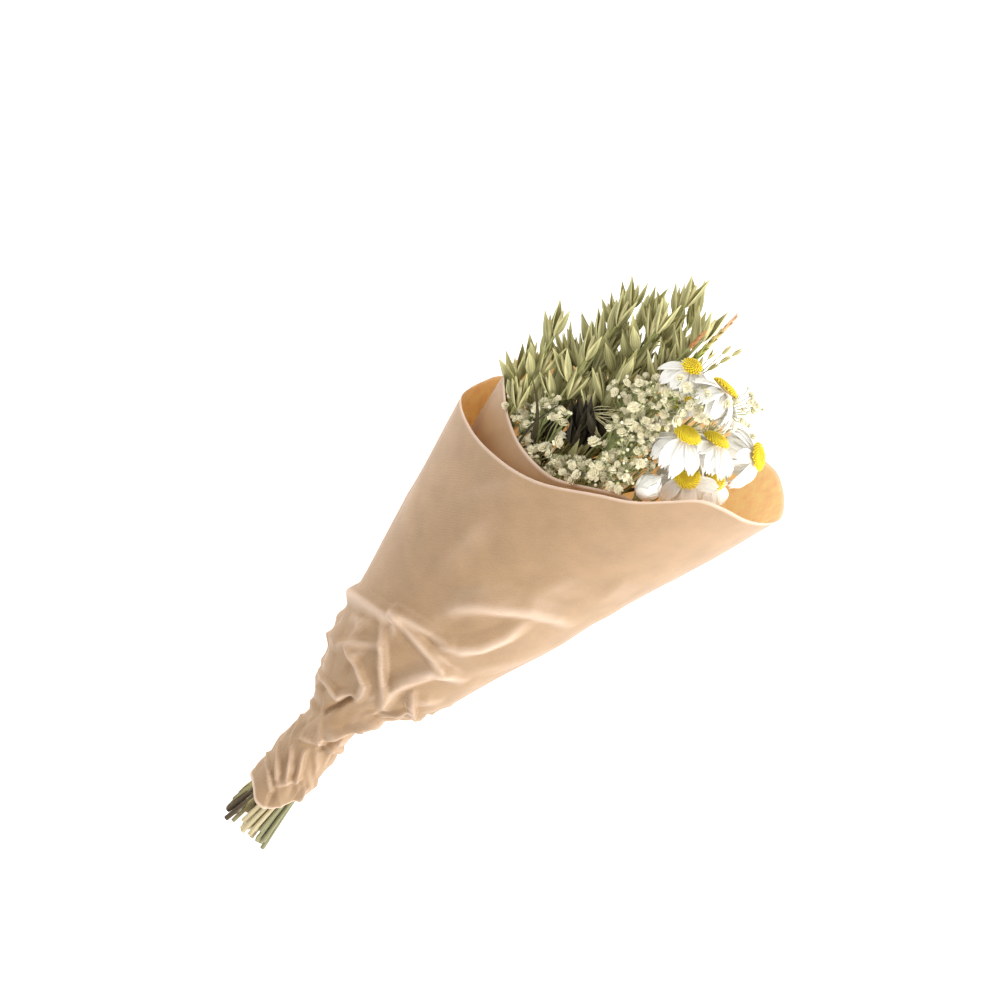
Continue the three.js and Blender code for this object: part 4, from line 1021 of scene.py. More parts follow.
def random_creases():
    """Small creases all round the twisted paper, slanting with the twist, and a few long soft ones."""
    draw, rows = draws(41), []
    for _ in range(110):
        angle, along = 360 * draw(), 84 + 92 * draw() ** 1.2
        slant, reach = (draw() - 0.3) * 2.2, 10 + 22 * draw()
        height = (0.7 + 1.1 * draw()) * (1 if draw() > 0.4 else -0.8)
        height *= 0.35 + 0.65 * min(abs((angle + 180) % 360 - 180) / 60, 1)
        rows.append((3 + 4 * draw(), 3 + 5 * draw(), slanting(angle, along, slant, reach, (0, height, 0))))
    for _ in range(46):
        angle, along = 360 * draw(), 28 + 58 * draw()
        height = (0.5 + 0.8 * draw()) * (1 if draw() > 0.45 else -0.8)
        spread = 30 + 40 * draw()
        ends = (angle, along - 12, 0), (angle - spread, along + 10, 0)
        knots = [ends[0], (angle - spread * 0.4, along, height), ends[1]]
        rows.append((2 + 2 * draw(), 2 + 2 * draw(), knots))
    for _ in range(30):
        angle, along = 360 * draw(), 180 + 150 * draw()
        slant, reach = (draw() - 0.5) * 1.6, 25 + 55 * draw()
        left, right, heights = 9 + 9 * draw(), 9 + 9 * draw(), (0, 0.35 + 0.4 * draw(), 0)
        rows.append((left, right, slanting(angle, along, slant, reach, heights, (-0.5, 0.1, 0.5))))
    return rows


def bare_cone(angle, along):
    """The outermost turn of the paper before it is creased."""
    across, high, middle = cone_at(along)
    turn = np.radians(angle)
    return at(along, middle + across * np.sin(turn), high * np.cos(turn))


def crease_table(alongs):
    """How far the creases lift the paper and how pale it is painted there, a painted highlight on each crest that
    reaches further down its right-hand flank, over a grid of angles round it and places along it."""
    angles = np.arange(0, 360, COLUMN_STEP)
    ground = bare_cone(angles[:, None], alongs[None, :])
    lift, wear_and_highlight = np.zeros((2,) + ground.shape[:2])
    for left, right, knots in CREASES + random_creases():
        rows = np.array(knots, float)
        t = np.linspace(0, len(rows) - 1, 6 * (len(rows) - 1) + 1)
        angle, along, height = (np.interp(t, np.arange(len(rows)), rows[:, i]) for i in range(3))
        line = bare_cone(angle, along)
        window = np.abs((angles - angle.mean() + 180) % 360 - 180) < np.ptp(angle) / 2 + 50
        span = (alongs > along.min() - 20) & (alongs < along.max() + 20)
        patch = ground[np.ix_(window, span)]
        best = np.full(patch.shape[:2], 1e9)
        value, crest_highlight = np.zeros((2,) + patch.shape[:2])
        for a, b, low, high in zip(line[:-1], line[1:], height[:-1], height[1:]):
            reach = b - a
            s = np.clip(((patch - a) @ reach) / (reach @ reach), 0, 1)
            off = patch - (a + s[..., None] * reach)
            far = np.linalg.norm(off, axis=2)
            out = a + reach / 2 - at(float((a - ORIGIN) @ FORWARD), 0, 0)
            side = (np.cross(reach, out) * off).sum(2) > 0
            width = np.where(side, right, left)
            off_crest = np.minimum(far / width, 1)
            fall = np.where(side, 1 - off_crest ** 1.2, 1 - off_crest)
            tall = low + (high - low) * s
            # painted highlight: palest at the crest, reaching further down the right-hand flank and stronger on
            # taller creases
            pale = np.clip(1 - np.where(side, 1, 2.5) * off_crest, 0, 1) ** 1.1 * np.clip(tall / 2.6, 0, 1)
            nearer = far < best
            best, value = np.where(nearer, far, best), np.where(nearer, tall * fall, value)
            crest_highlight = np.where(nearer, pale, crest_highlight)
        lift[np.ix_(window, span)] += value
        wear_and_highlight[np.ix_(window, span)] = np.maximum(wear_and_highlight[np.ix_(window, span)], crest_highlight)
    return angles, lift, wear_and_highlight


def waves(points):
    """Slow waves of the sheet, in millimetres."""
    return np.array([noise.noise(Vector(point) * 0.021) for point in points.reshape(-1, 3)])


def flat_sheet(angle, along):
    """Where a point of the paper lies on the flat sheet before it is rolled."""
    turn = np.radians(angle) * UNROLLED
    return (along + SHEET_APEX) * np.cos(turn), (along + SHEET_APEX) * np.sin(turn)


def make_paper(settings):
    columns = int(PAPER_SWEEP / COLUMN_STEP)
    angles = PAPER_START - np.arange(columns + 1) * COLUMN_STEP
    low, high = through(STEM_EDGE, angles), through(MOUTH_EDGE, angles)
    rows = np.append(np.linspace(0, TWISTED_SHARE, TWISTED_ROWS),
                     np.linspace(TWISTED_SHARE, 1, MOUTH_ROWS)[1:])
    along = low[:, None] + (high - low)[:, None] * rows[None, :]
    alongs = np.arange(20, 404, 1.5)
    table_angles, *tables = crease_table(alongs)
    lift, wear_and_highlight = np.empty((2,) + along.shape)
    for i, angle in enumerate(angles):
        column = int(round((angle % 360) / COLUMN_STEP)) % len(table_angles)
        lift[i], wear_and_highlight[i] = (np.interp(along[i], alongs, table[column]) for table in tables)
    sheet = np.broadcast_to(angles[:, None], along.shape)
    wave = waves(bare_cone(np.mod(sheet, 360), along)).reshape(along.shape)
    lift = lift * CREASE_LIFT * settings.crease_depth + wave * WAVE_LIFT * ease(along, 60, 160)
    across, tall, middle = cone_at(along)
    turn = np.radians(sheet)
    faces = []
    for depth in (0, settings.thickness / MM):
        inset = inset_at(sheet, along, across) + depth - lift
        face = at(along, middle + (across - inset) * np.sin(turn), (tall - inset) * np.cos(turn))
        face[..., 2] = np.maximum(face[..., 2], depth)
        faces.append(face)
    # painted highlight: the paper is painted paler within a few millimetres of its edges
    edge_highlight = 0.75 * (1 - ease(np.minimum(high[:, None] - along, along - low[:, None]), 0.3, 2.6))
    skin = Skin()
    skin.put(slab(*faces), sheet_marks(*flat_sheet(sheet, along), np.maximum(edge_highlight, wear_and_highlight * 0.5)))
    inner = (len(rows) - 1) * columns
    skin.slots[inner:2 * inner] = [1] * inner
    # painted glow: the inside glows more than the outside, and its colour is a brighter, more saturated orange,
    # both standing in for light that comes through the paper
    outside = kraft_paper("machine_glazed_kraft_outside", settings.outside, 0.1, 20, 0.55, 0.05)
    inside = kraft_paper("kraft_paper_felt_side_painted_glow", settings.inside, 0.16, 7, 0.7, 0.35)
    dress(skin.make("kraft_paper_cone", [outside, inside]), "kraft_paper", "kraft_wrapper")


def make_tie(settings):
    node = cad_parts["neck_tie"]
    node.data.materials.clear()
    node.data.materials.append(jute_twine("jute_twine", settings.tie))


# ---- Stems ----

# age of a cut end by its place from left to right in the fan: 0 is dark brown, 1 pale straw
FAN_AGES = [(-11, 0.05), (-6, 0.12), (-1, 0.55), (3, 0.75), (9, 0.95), (14, 0.7), (18, 0.4), (26, 0.26)]


def put_stem(skin, stem, draw, sides=9, thin=0.8):
    """A stalk that tapers to its head and is thicker towards its cut end. Round the fan of cut ends
    the stalks go from dark ones at its left over straw in its middle to olive ones at its right."""
    levels, line = stem.line(12)
    top, radius = stem.head[0], stem.radius
    radii = np.interp(levels, [-6, 60, NECK, top - 120, top],
                      [1.1 + 0.6 * radius, 0.5 + 0.75 * radius, radius, radius, thin * radius])
    line[:, 2] = np.maximum(line[:, 2], radii + 0.3)
    aside = (line[0] - ORIGIN) @ RIGHTWARD + 11 * (draw - 0.5)
    skin.put_tube(line, radii, sides, np.interp(aside, *zip(*FAN_AGES)), 0, 1, 0)


def put_leaf(skin, line, width, draw, slot):
    """A long withered leaf: folded along its middle, twisted, and pointed at its tip."""
    forward = np.gradient(line, axis=0)
    v, u = grid(len(line), 5)
    twist, spin = (draw() - 0.5) * 4, draw() * TURN
    side = np.array([leaning(unit(ahead), spin + twist * t, math.pi / 2)
                     for ahead, t in zip(forward, v[:, 0])])
    lift = np.cross(side, forward / np.linalg.norm(forward, axis=1)[:, None])[:, None]
    half = width / 2 * np.interp(v, [0, 0.1, 0.4, 1], [0.35, 0.8, 1, 0.08])[..., None]
    top = line[:, None] + side[:, None] * half * u[..., None] + lift * half * np.abs(u[..., None]) * 0.7
    skin.put(slab(top, top - lift * 0.25), sheet_marks(u * 3, v * 40, draw()), slot)


def put_sheaths(skin, stem, draw, slot):
    """Torn leaf sheaths that cling to a stem's cut end."""
    for _ in range(2):
        levels = np.linspace(48, stem.levels()[0] + 8 * draw(), 8)
        turn, out = draw() * TURN, stem.radius + 1.0
        line = np.array([stem.point(along) + leaning(stem.forward(along), turn, math.pi / 2)
                         * (out + 1.6 * draw() * (k / 7) ** 2) for k, along in enumerate(levels)])
        line[:, 2] = np.maximum(line[:, 2], 3)
        put_leaf(skin, line, 3.4 + 2 * draw(), draw, slot)


# ---- Oats ----

HUSK = [[0, 0.16], [0.08, 0.52], [0.22, 0.88], [0.38, 1], [0.6, 0.8], [0.8, 0.42], [0.94, 0.14], [1, 0.03]]


def husk(length, width, bulge, opening, side, rows=9, columns=7):
    """One boat-shaped husk that opens to one side, as a closed thin sheet and its marks."""
    v, u = grid(rows, columns)
    wide = through(HUSK, v)
    lean = math.tan(math.radians(opening)) * length * v * (0.55 + 0.45 * v)
    x = side * (lean + bulge * wide * (1 - np.abs(u) ** 2.2) + 0.1)
    y = u * width / 2 * wide * np.ones_like(v)
    z = length * v - 0.03 * length * np.abs(u) ** 2 * (1 - v)
    top = np.stack(np.broadcast_arrays(x, y, z), -1)
    return *slab(top, top - [side * 0.3, 0, 0]), sheet_marks(u, v)


def put_spikelet(skin, row, draw, settings, shaded):
    root, joint, aim, face, length, opening = row
    across, age = settings.husk_width / MM, draw()
    # painted shade: spikelets in the dark hollow and the extra, deeper ones get a lower mark, which paints them
    # dark
    age -= 1.9 * in_hollow(joint + aim * 6) + shaded * 1.5
    head = axes(joint, aim, face)
    sag = sideways(aim) * (draw() - 0.5) * 1.5
    skin.put_tube(bowed(root, joint, sag, 5), [0.45, 0.4, 0.36, 0.34, 0.5], 5, age)
    for side in (1, -1):
        size = 0.94 + 0.12 * draw()
        points, faces, marks = husk(length * size, across, across * 0.5, opening, side)
        skin.put((place(head, points), faces), marks + [0, 0, age], 2)
    kernel = length * (0.74 + 0.1 * draw())
    for side in (1, -1):
        points, faces, marks = husk(kernel, across * 0.55, across * 0.25, opening * 0.1, side, 7, 5)
        skin.put((place(head, points), faces), marks + [0, 0.1, age], 3)


def make_oats(settings):
    materials = [
        dried_stalk("dried_oat_stalk", settings.stalk, settings.straw),
        plain_plant("cut_oat_pith", "#CDBE8C"),
        oat_husk("dried_oat_husk", settings.husk, settings.straw),
        oat_husk("dried_oat_kernel", settings.straw, srgb("#E6DDB0")),
        # painted shade: the very dark leaves darken the inside of the cone
        plain_plant("withered_oat_leaf_painted_shade", "#3E371A"),
        plain_plant("dried_oat_sheath", "#B5AB78"),
    ]
    for i, spikelets in enumerate(plan().oats, 1):
        name, skin, draw = f"oat_panicle_{i}", Skin(), draws(2700 + i)
        put_stem(skin, plan().stems[name], draw())
        for k, row in enumerate(spikelets):
            # the extra spikelets sit deeper and are painted darker, a painted shade
            put_spikelet(skin, row, draw, settings, 0.3 if k > OAT["spikelets"] else 0.0)
        for line, width in plan().leaves[name]:
            put_leaf(skin, line, width, draw, 4)
        put_sheaths(skin, plan().stems[name], draw, 5)
        dress(skin.make(f"oat_head_{i}", materials, 50), "dried_oat", name)


# ---- Baby's breath ----

def petal_lens(length, width, tilt, turn, lift):
    """A small notched petal of a double bloom as a closed lens."""
    half = [(0, -0.12), (0.45, -0.42), (0.85, -0.5), (1.0, -0.26)]
    outline = half + [(0.88, 0)] + [(out, -aside) for out, aside in reversed(half)]
    flat = [(length * a, width * b, 0.18 * length * abs(b)) for a, b in outline]
    points = np.array(flat + [(length * 0.55, 0, 0.10), (length * 0.55, 0, -0.10)])
    n = len(outline)
    faces = [[i, (i + 1) % n, n] for i in range(n)] + [[(i + 1) % n, i, n + 1] for i in range(n)]
    marks = np.stack([points[:, 1] / width * 2, points[:, 0] / length, np.zeros(n + 2)], -1)
    c, s = math.cos(tilt), math.sin(tilt)
    rolled = points @ np.array([[c, 0, s], [0, 1, 0], [-s, 0, c]])
    c, s = math.cos(turn), math.sin(turn)
    return rolled @ np.array([[c, s, 0], [-s, c, 0], [0, 0, 1]]) + [0, 0, lift], faces, marks


# petals of a whorl of a double bloom, their length, tilt in degrees and height
WHORLS = ((6, 1.0, 14, -0.12), (6, 0.95, 36, 0.0), (5, 0.82, 58, 0.08), (3, 0.7, 80, 0.1))


def double_bloom(draw):
    """Points, faces and marks of a bloom of radius 1: four whorls of petals that close to its heart."""
    points, faces, marks, count = [], [], [], 0
    for petals, length, tilt, lift in WHORLS:
        for k in range(petals):
            lean, size = math.radians(tilt + 22 * (draw() - 0.5)), length * (0.85 + 0.25 * draw())
            shape = petal_lens(size, 0.78, lean, k / petals * TURN + draw() * 0.5 + tilt, lift)
            points.append(shape[0])
            faces += (np.array(shape[1]) + count).tolist()
            marks.append(shape[2])
            count += len(shape[0])
    return np.concatenate(points), [faces], np.concatenate(marks)


def jitter(draw):
    return np.array([draw() - 0.5, draw() - 0.5, draw() - 0.5])


def put_bloom(skin, row, shapes, draw, settings):
    root, spot, face, size = row
    size *= settings.bloom_size
    head = axes(spot - face * size * 0.5, face, sideways(face))
    foot = head[0] - face * size * 0.35, head[1]
    line = bowed(root, foot[0], jitter(draw) * 2.4, 6)
    line[-2] = foot[0] - face * 1.2
    skin.put_tube(line, np.linspace(0.34, 0.24, 6), 5, draw(), 0)
    cup = [(0.18, 0), (0.3 * size, 0.12 * size), (0.42 * size, 0.42 * size), (0.3 * size, 0.62 * size)]
    skin.put_turned(foot, cup, 7, (0, 0.4, draw()), 3)
    if size < 1.9:
        bud = [(0.2, 0.1 * size), (0.62 * size, 0.55 * size), (0.55 * size, 1.0 * size), (0.12, 1.4 * size)]
        skin.put_turned(foot, bud, 7, (0, 0.8, draw()), 2 if draw() < 0.35 else 4)
        return
    points, faces, marks = shapes[int(draw() * len(shapes))]
    skin.put((place(head, points * size), faces), marks + [0, 0, draw()], 2)


def put_whiskers(skin, draw):
    """Thin dry whiskers that fan out of the hollow."""
    start = at(*WHISKERS[0])
    for k in range(22):
        tip = at(*WHISKERS[1 + k % 5]) + 5 * jitter(draw)
        root = start + 3 * jitter(draw)
        sag = UPWARD * 3 + RIGHTWARD * (draw() - 0.5) * 8
        line = bowed(root, root + (tip - root) * (0.6 + 0.45 * draw()), sag, 7)
        skin.put_tube(line, [0.24] * 6 + [0.12], 4, 0.9, 6)


def make_sprays(settings):
    materials = [
        dried_stalk("dried_babys_breath_stalk", settings.stalk, srgb("#C9C98F")),
        plain_plant("cut_babys_breath_pith", "#C9BE90"),
        papery_petal("dried_babys_breath_petal", settings.petal, srgb("#DDD3A0"), 3),
        plain_plant("dried_babys_breath_cup", "#A5AC74"),
        plain_plant("dried_babys_breath_bud", "#CBCB9C"),
        # painted shade: the very dark leaves darken the inside of the cone
        plain_plant("withered_babys_breath_leaf_painted_shade", "#4B4622"),
        plain_plant("dry_whisker", "#D9D0A0"),
    ]
    draw = draws(77)
    shapes = [double_bloom(draw) for _ in range(5)]
    for i, clusters in enumerate(plan().sprays, 1):
        name, skin, draw = f"babys_breath_{i}", Skin(), draws(2900 + i)
        put_stem(skin, plan().stems[name], draw(), 7, 0.75)
        for _, fork, end, blooms in clusters:
            sag = np.array([0, 0, draw() - 0.5]) * 2
            skin.put_tube(bowed(fork, end, sag, 5), np.linspace(0.5, 0.34, 5), 6, draw())
            for row in blooms:
                put_bloom(skin, row, shapes, draw, settings)
        for line, width in plan().leaves[name]:
            put_leaf(skin, line, width, draw, 5)
        if i == 3:
            put_whiskers(skin, draw)
        dress(skin.make(f"babys_breath_spray_{i}", materials, 60), "babys_breath", name)


# ---- Daisies ----

PETAL = [[0, 0.40], [0.25, 0.76], [0.55, 1], [0.8, 0.94], [0.93, 0.68], [1, 0.34]]


def put_petal(skin, flower, petal, draw, settings, lower=0.0):
    """A thin petal that rises or hangs from the hub, cupped, veined and a little twisted."""
    turn, length, width, rise = petal
    v, u = grid(10, 9)
    half = width / 2 * settings.petal_width * through(PETAL, v)
    share = v - 0.07 * v ** 5 * np.cos(u * math.pi * 1.5) - 0.05 * v * u ** 2
    cup, curl = 0.10 + 0.2 * draw(), (draw() - 0.35) * 2.0
    twist, bend = (draw() - 0.5) * 0.9, (draw() - 0.5) * 2.4
    ripple = 0.16 * np.cos(u * math.pi * 3.5 + draw() * 3) * np.minimum(v * 3, 1)
    off = half * (cup * u ** 2 + twist * u * v) + ripple - curl * v ** 3 - lower
    lean = math.radians(rise) * (0.35 + 0.65 * share)
    far, lift = petal_path(petal, share)
    x = half * u * (1 - 0.12 * v) + bend * v ** 2
    skin.put(slab(*(place(flower, around(turn, far - 1.2 * (1 - v) - (off - thin) * np.sin(lean), x,
                                         lift + (off - thin) * np.cos(lean))) for thin in (0, 0.28))),
             sheet_marks(u, v, draw()))


HUB = [(2.6, -0.9), (3.9, -0.75), (4.6, -0.4), (4.6, 0.3), (3.9, 0.55), (2.6, 0.6)]


def make_petals(i, flower, petals, white, settings):
    skin, draw = Skin(), draws(3500 + i)
    skin.put_turned(flower, HUB, 24, (0, 0.3, 0.5))
    whole = [petal for petal in petals if petal[1] > 3]
    for petal in whole:
        put_petal(skin, flower, petal, draw, settings)
    for one, other in zip(whole, whole[1:] + whole[:1]):
        gap = (other[0] - one[0]) % TURN
        if gap < 0.8:
            between = (one[0] + gap / 2, min(one[1], other[1]) * 0.96, one[2], min(one[3], other[3]) - 4)
            put_petal(skin, flower, between, draw, settings, 0.5)
    dress(skin.make(f"daisy_{i}_white_petals", [white], 60), "white_petal", f"daisy_{i}_petals")


def make_heart(i, flower, florets, settings):
    """A dome of florets in a sunflower spiral, closed buds in its middle and open ones at its rim."""
    skin, draw = Skin(), draws(4500 + i)
    size = DAISIES[i - 1][4]
    radius, count = DAISY["disc"] * size, int(190 * size ** 2)
    dome = [[0, 5.1], [0.35, 4.9], [0.7, 4.1], [0.92, 2.9], [1, 2.0]]
    slope = [(radius * r, float(h) - 0.2) for r, h in reversed(dome[1:])]
    core = [(3.4 * size, 1.0), (radius * 0.86, 1.4)] + slope + [(0.3, 4.9)]
    skin.put_turned(flower, core, 22, (0, 0.1, 0.5))
    for k in range(count):
        share, turn = math.sqrt((k + 0.5) / count), k * GOLDEN_TURN
        tall, wide = 0.55 + 0.9 * share + 0.25 * draw(), 0.34 + 0.14 * share
        lean, far = 0.2 + 0.9 * share ** 2, radius * share * 0.97
        up = around(turn, math.sin(lean), 0, math.cos(lean))
        foot = around(turn, far, 0, float(through(dome, share)) - 0.35)
        rim = 1.25 if share > 0.6 else 0.85
        profile = [(wide * 0.8, 0), (wide * 0.9, tall * 0.6), (wide * rim, tall), (wide * 0.3, tall * 1.12)]
        points, faces = barrel(place(axes(foot, up, [0.3, 0.9, -0.2]), lathe(profile, 6)))
        # painted shade: each floret is darker towards its foot and brightest at its rim
        glow = np.repeat([0.2, 0.6, 1.0, 0.75], 6) - 0.25 * draw()
        marks = np.stack([np.zeros(24), glow, np.full(24, draw())], -1)
        skin.put((place(flower, points), faces), marks)
    dress(skin.make(f"daisy_{i}_heart", [florets], 60), "yellow_disc", f"daisy_{i}_disc")


def make_daisy_stalk(i, flower, materials):
    skin, draw = Skin(), draws(5500 + i)
    stem = plan().stems[f"daisy_{i}"]
    put_stem(skin, stem, draw(), 9, 0.95)
    cup = [(0.9, -7.0), (1.3, -6.2), (2.2, -4.6), (3.4, -2.4), (3.9, -1.1), (2.8, -0.95)]
    skin.put_turned(flower, cup, 16, (0, 0.5, draw()), 2)
    v, u = grid(5, 3)
    side = u * 0.85 * np.sqrt(np.maximum(1 - v ** 2, 0.03))
    for k in range(26):
        tier = k % 2
        far = 1.5 + 2.5 * v ** 0.8 + 0.25 + 0.15 * tier + 0 * u
        top = around(k * 2.4, far, side, -6.0 + tier * 1.2 + 4.4 * v + 0 * u)
        sheets = slab(place(flower, top), place(flower, top * [0.92, 0.92, 1]))
        skin.put(sheets, sheet_marks(u, v, draw()), 3)
    dress(skin.make(f"daisy_{i}_stalk", materials, 55), "green_stem", f"daisy_{i}_stem")


def make_daisies(settings):
    white = papery_petal("dried_daisy_petal", settings.petal, srgb("#F4EBDD"), 7)
    florets = floret_dome("dried_disc_florets", settings.heart, settings.old_heart)
    of_stalk = [
        dried_stalk("dried_daisy_stalk", srgb("#8E9160"), srgb("#B9B283")),
        plain_plant("cut_daisy_pith", "#C9BB8A"),
        plain_plant("dried_daisy_cup", "#8E9160"),
        oat_husk("dried_daisy_bract", srgb("#9A9C66"), srgb("#CFC79A")),
    ]
    for i, (flower, petals) in enumerate(plan().daisies, 1):
        make_petals(i, flower, petals, white, settings)
        make_heart(i, flower, florets, settings)
        make_daisy_stalk(i, flower, of_stalk)


# ---- The closed bud, the grass spike and the dock tip ----

def make_bud(settings):
    centre, face = at(*BUD["at"]), way(*BUD["face"])
    head = axes(centre, face, sideways(face))
    radius, length = BUD["radius"], BUD["length"]
    egg = [[0, 0.25], [0.1, 0.62], [0.3, 0.96], [0.45, 1.0], [0.65, 0.84], [0.85, 0.46], [1, 0.08]]
    shares = np.linspace(0.01, 1, 12)
    skin, draw = Skin(), draws(61)
    core = [(radius * float(through(egg, t)) * 0.9, length * t * 0.97) for t in shares]
    skin.put_turned(head, core, 24, (0, 0.5, 0.5))
    v, u = grid(10, 7)
    spread = 0.62 * through([[0, 0.5], [0.4, 1], [0.75, 0.8], [1, 0.12]], v) * u
    for k in range(21):
        tier = k // 7
        rise, angle = 0.02 + 0.07 * tier + (0.62 + 0.17 * tier) * v, k * GOLDEN_TURN + spread
        shell = radius * through(egg, np.minimum(rise, 1)) * (0.97 + 0.035 * (2 - tier))
        shell = shell + 0.5 * v ** 3 * (2 - tier) + 0.25 * u ** 2
        top = np.stack([shell * np.cos(angle), shell * np.sin(angle), length * rise + 0 * u], -1)
        skin.put(slab(place(head, top), place(head, top * [0.95, 0.95, 1])), sheet_marks(u, v, draw()))
    white = papery_petal("papery_everlasting_bract", settings.bract, srgb("#B9AFA0"), 7)
    dress(skin.make("white_bud", [white], 60), "papery_bud", "bud_bracts")
    skin = Skin()
    put_stem(skin, plan().stems["bud"], draw(), 9, 0.95)
    cup = [(0.9, -4.0), (1.5, -3.0), (2.9, -0.8), (3.3, 0.3), (2.2, 0.5)]
    skin.put_turned(head, cup, 16, (0, 0.5, draw()), 2)
    materials = [
        dried_stalk("dried_bud_stalk", srgb("#8E9160"), srgb("#B9B283")),
        plain_plant("cut_bud_pith", "#C9BB8A"),
        plain_plant("dried_bud_cup", "#8E9160"),
    ]
    dress(skin.make("white_bud_stalk", materials, 55), "green_stem", "bud_stem")


def put_sprig(skin, draw):
    """A small sprig of grass: thin stalks with little gaping spikelets."""
    foot = at(*SPRIG[0])
    for spot in SPRIG[1:]:
        tip = at(*spot)
        forward = unit(tip - foot)
        skin.put_tube(bowed(foot, tip, UPWARD * 1.5, 6), [0.3] * 5 + [0.22], 5, 0.6)
        head = axes(tip - forward * 2, forward, leaning(forward, draw() * TURN, math.pi / 2))
        for side in (1, -1):
            points, faces, marks = husk(7.5, 2.4, 0.8, 12, side, 7, 5)
            skin.put((place(head, points), faces), marks + [0, 0, draw()], 3)


def make_scaled_tip(name, piece_name, tip, colours, slot, seed, count, width):
    """A thin stalk that ends in overlapping scales."""
    stem, draw, skin = plan().stems[name], draws(seed), Skin()
    base, end = stem.point(stem.head[0]), at(*tip["tip"])
    forward = unit(end - base)
    put_stem(skin, stem, draw(), 8, 0.9)
    core = bowed(base - forward * 1.5, end, UPWARD * 0.6, 8)
    skin.put_tube(core, np.linspace(stem.radius * 0.85, 0.25, 8), 7, draw())
    for k in range(count):
        f, turn = k / count, k * 2.4
        out = leaning(forward, turn, math.radians(14 - 6 * f))
        head = axes(base + (end - base) * (f * 0.93), out, leaning(forward, turn, math.pi / 2))
        length = tip["length"] * (0.20 if count > 16 else 0.34) * (1 - 0.3 * f)
        points, faces, marks = husk(length, width * (1.0 - 0.45 * f), width * 0.22, 3, 1, 7, 5)
        skin.put((place(head, points), faces), marks * [1, 0.3, 1] + [0, 0.7 * f, draw()], 2)
    if name == "dock_tip":
        put_sprig(skin, draw)
    materials = [
        dried_stalk(f"dried_{piece_name}_stalk", srgb("#8D9255"), srgb("#B7A878")),
        plain_plant(f"cut_{piece_name}_pith", "#CDBE8C"),
        scaly_bud(f"dried_{piece_name}_scale", *colours),
        oat_husk(f"dried_{piece_name}_sprig", srgb("#B5AE78"), srgb("#E6DCAE")),
    ]
    dress(skin.make(piece_name, materials, 55), slot, name)


# ---- The stage ----

CAMERA_TILT = math.radians(7)
CAMERA_ROLL = math.radians(45.5)
CAMERA_DISTANCE = 1441
LOOKED_AT = (275, -23.12, 0)


def make_camera():
    """The photo's view: from almost straight above, turned so that the bouquet lies cornerwise."""
    back = np.array([math.sin(CAMERA_TILT), 0, math.cos(CAMERA_TILT)])
    ahead = unit(np.array([1, 0, 0]) - back * back[0])
    right = np.array([0, -1, 0])
    across = math.cos(CAMERA_ROLL) * ahead + math.sin(CAMERA_ROLL) * right
    upward = math.sin(CAMERA_ROLL) * ahead - math.cos(CAMERA_ROLL) * right
    lens = bpy.data.cameras.new("camera")
    lens.lens, lens.sensor_width = 85, 36
    lens.clip_start, lens.clip_end = 0.05, 20
    camera = bpy.data.objects.new("camera", lens)
    bpy.context.scene.collection.objects.link(camera)
    turned = Matrix([list(row) for row in np.stack([across, upward, back], 1)]).to_4x4()
    spot = (at(*LOOKED_AT) + back * CAMERA_DISTANCE) * MM
    turned.translation = Vector(spot)
    camera.matrix_world = turned
    bpy.context.scene.camera = camera
    return across, upward, back


def soft_light(name, towards, distance, size, watts):
    """A large round softbox, slightly warm, that looks at the bouquet from a direction."""
    lamp = bpy.data.lights.new(name, "AREA")
    lamp.shape, lamp.size = "DISK", size
    lamp.energy, lamp.color = watts, (1, 0.99, 0.97)
    light = bpy.data.objects.new(name, lamp)
    bpy.context.scene.collection.objects.link(light)
    spot = Vector(unit(towards)) * distance + Vector((0.05, 0, 0.06))
    light.location = spot
    light.rotation_euler = Vector(unit(towards)).to_track_quat("Z", "Y").to_euler()


def make_stage(settings):
    across, upward, back = make_camera()
    scene = bpy.context.scene
    scene.view_settings.view_transform = "Standard"
    world = bpy.data.worlds.new("white_studio")
    scene.world = world
    world.use_nodes = True
    sky = world.node_tree.nodes["Background"]
    sky.inputs["Color"].default_value = srgb("#FFFFFF")
    sky.inputs["Strength"].default_value = settings.fill
    made, tree, _, _ = material("white_light_table", settings.floor, 0.9, {
        "Emission Color": (1, 1, 1, 1), "Emission Strength": settings.glow})
    finished(made, None, add(tree, "TexNoise", {"Scale": 400.0}), 0.2, 0.05)
    rings = np.array([circle(64) * radius for radius in (0.5, 500, 1500, 3000)])
    skin = Skin()
    ids = np.arange(4 * 64).reshape(4, 64)
    skin.put((rings.reshape(-1, 3), [quads(np.concatenate([ids, ids[:, :1]], 1)), ids[:1]]))
    floor = skin.make("floor", [made])
    key_side, fill_side = back * 0.75 + across * 0.8 - upward * 0.75, back * 0.8 - across * 0.9 + upward * 0.7
    soft_light("key_softbox", key_side, 1.4, 0.8, settings.key)
    soft_light("fill_softbox", fill_side, 1.6, 1.2, settings.key * 0.4)


# ---- What a user can change ----

def colour_property(name, description, code):
    return bpy.props.FloatVectorProperty(name=name, description=description, default=srgb(code),
                                         subtype="COLOR", size=4, min=0, max=1)


class BouquetPaper(bpy.types.PropertyGroup):
    thickness: bpy.props.FloatProperty(
        name="Thickness", description="Thickness of the paper as it shows at its edges",
        default=0.0004, min=0.0002, max=0.001, unit="LENGTH")
    crease_depth: bpy.props.FloatProperty(
        name="Crease depth", description="How strongly the paper is crumpled",
        default=1.0, min=0, max=2, subtype="FACTOR")
    outside: colour_property("Outside", "Colour of the glazed side", "#A18362")
    # the inside colour is brighter and more orange than the outside, a painted glow of light coming through the
    # paper
    inside: colour_property("Inside", "Colour of the rough side, which faces the flowers", "#F9D19C")
    tie: colour_property("Tie", "Colour of the jute tie at the neck", "#A98755")


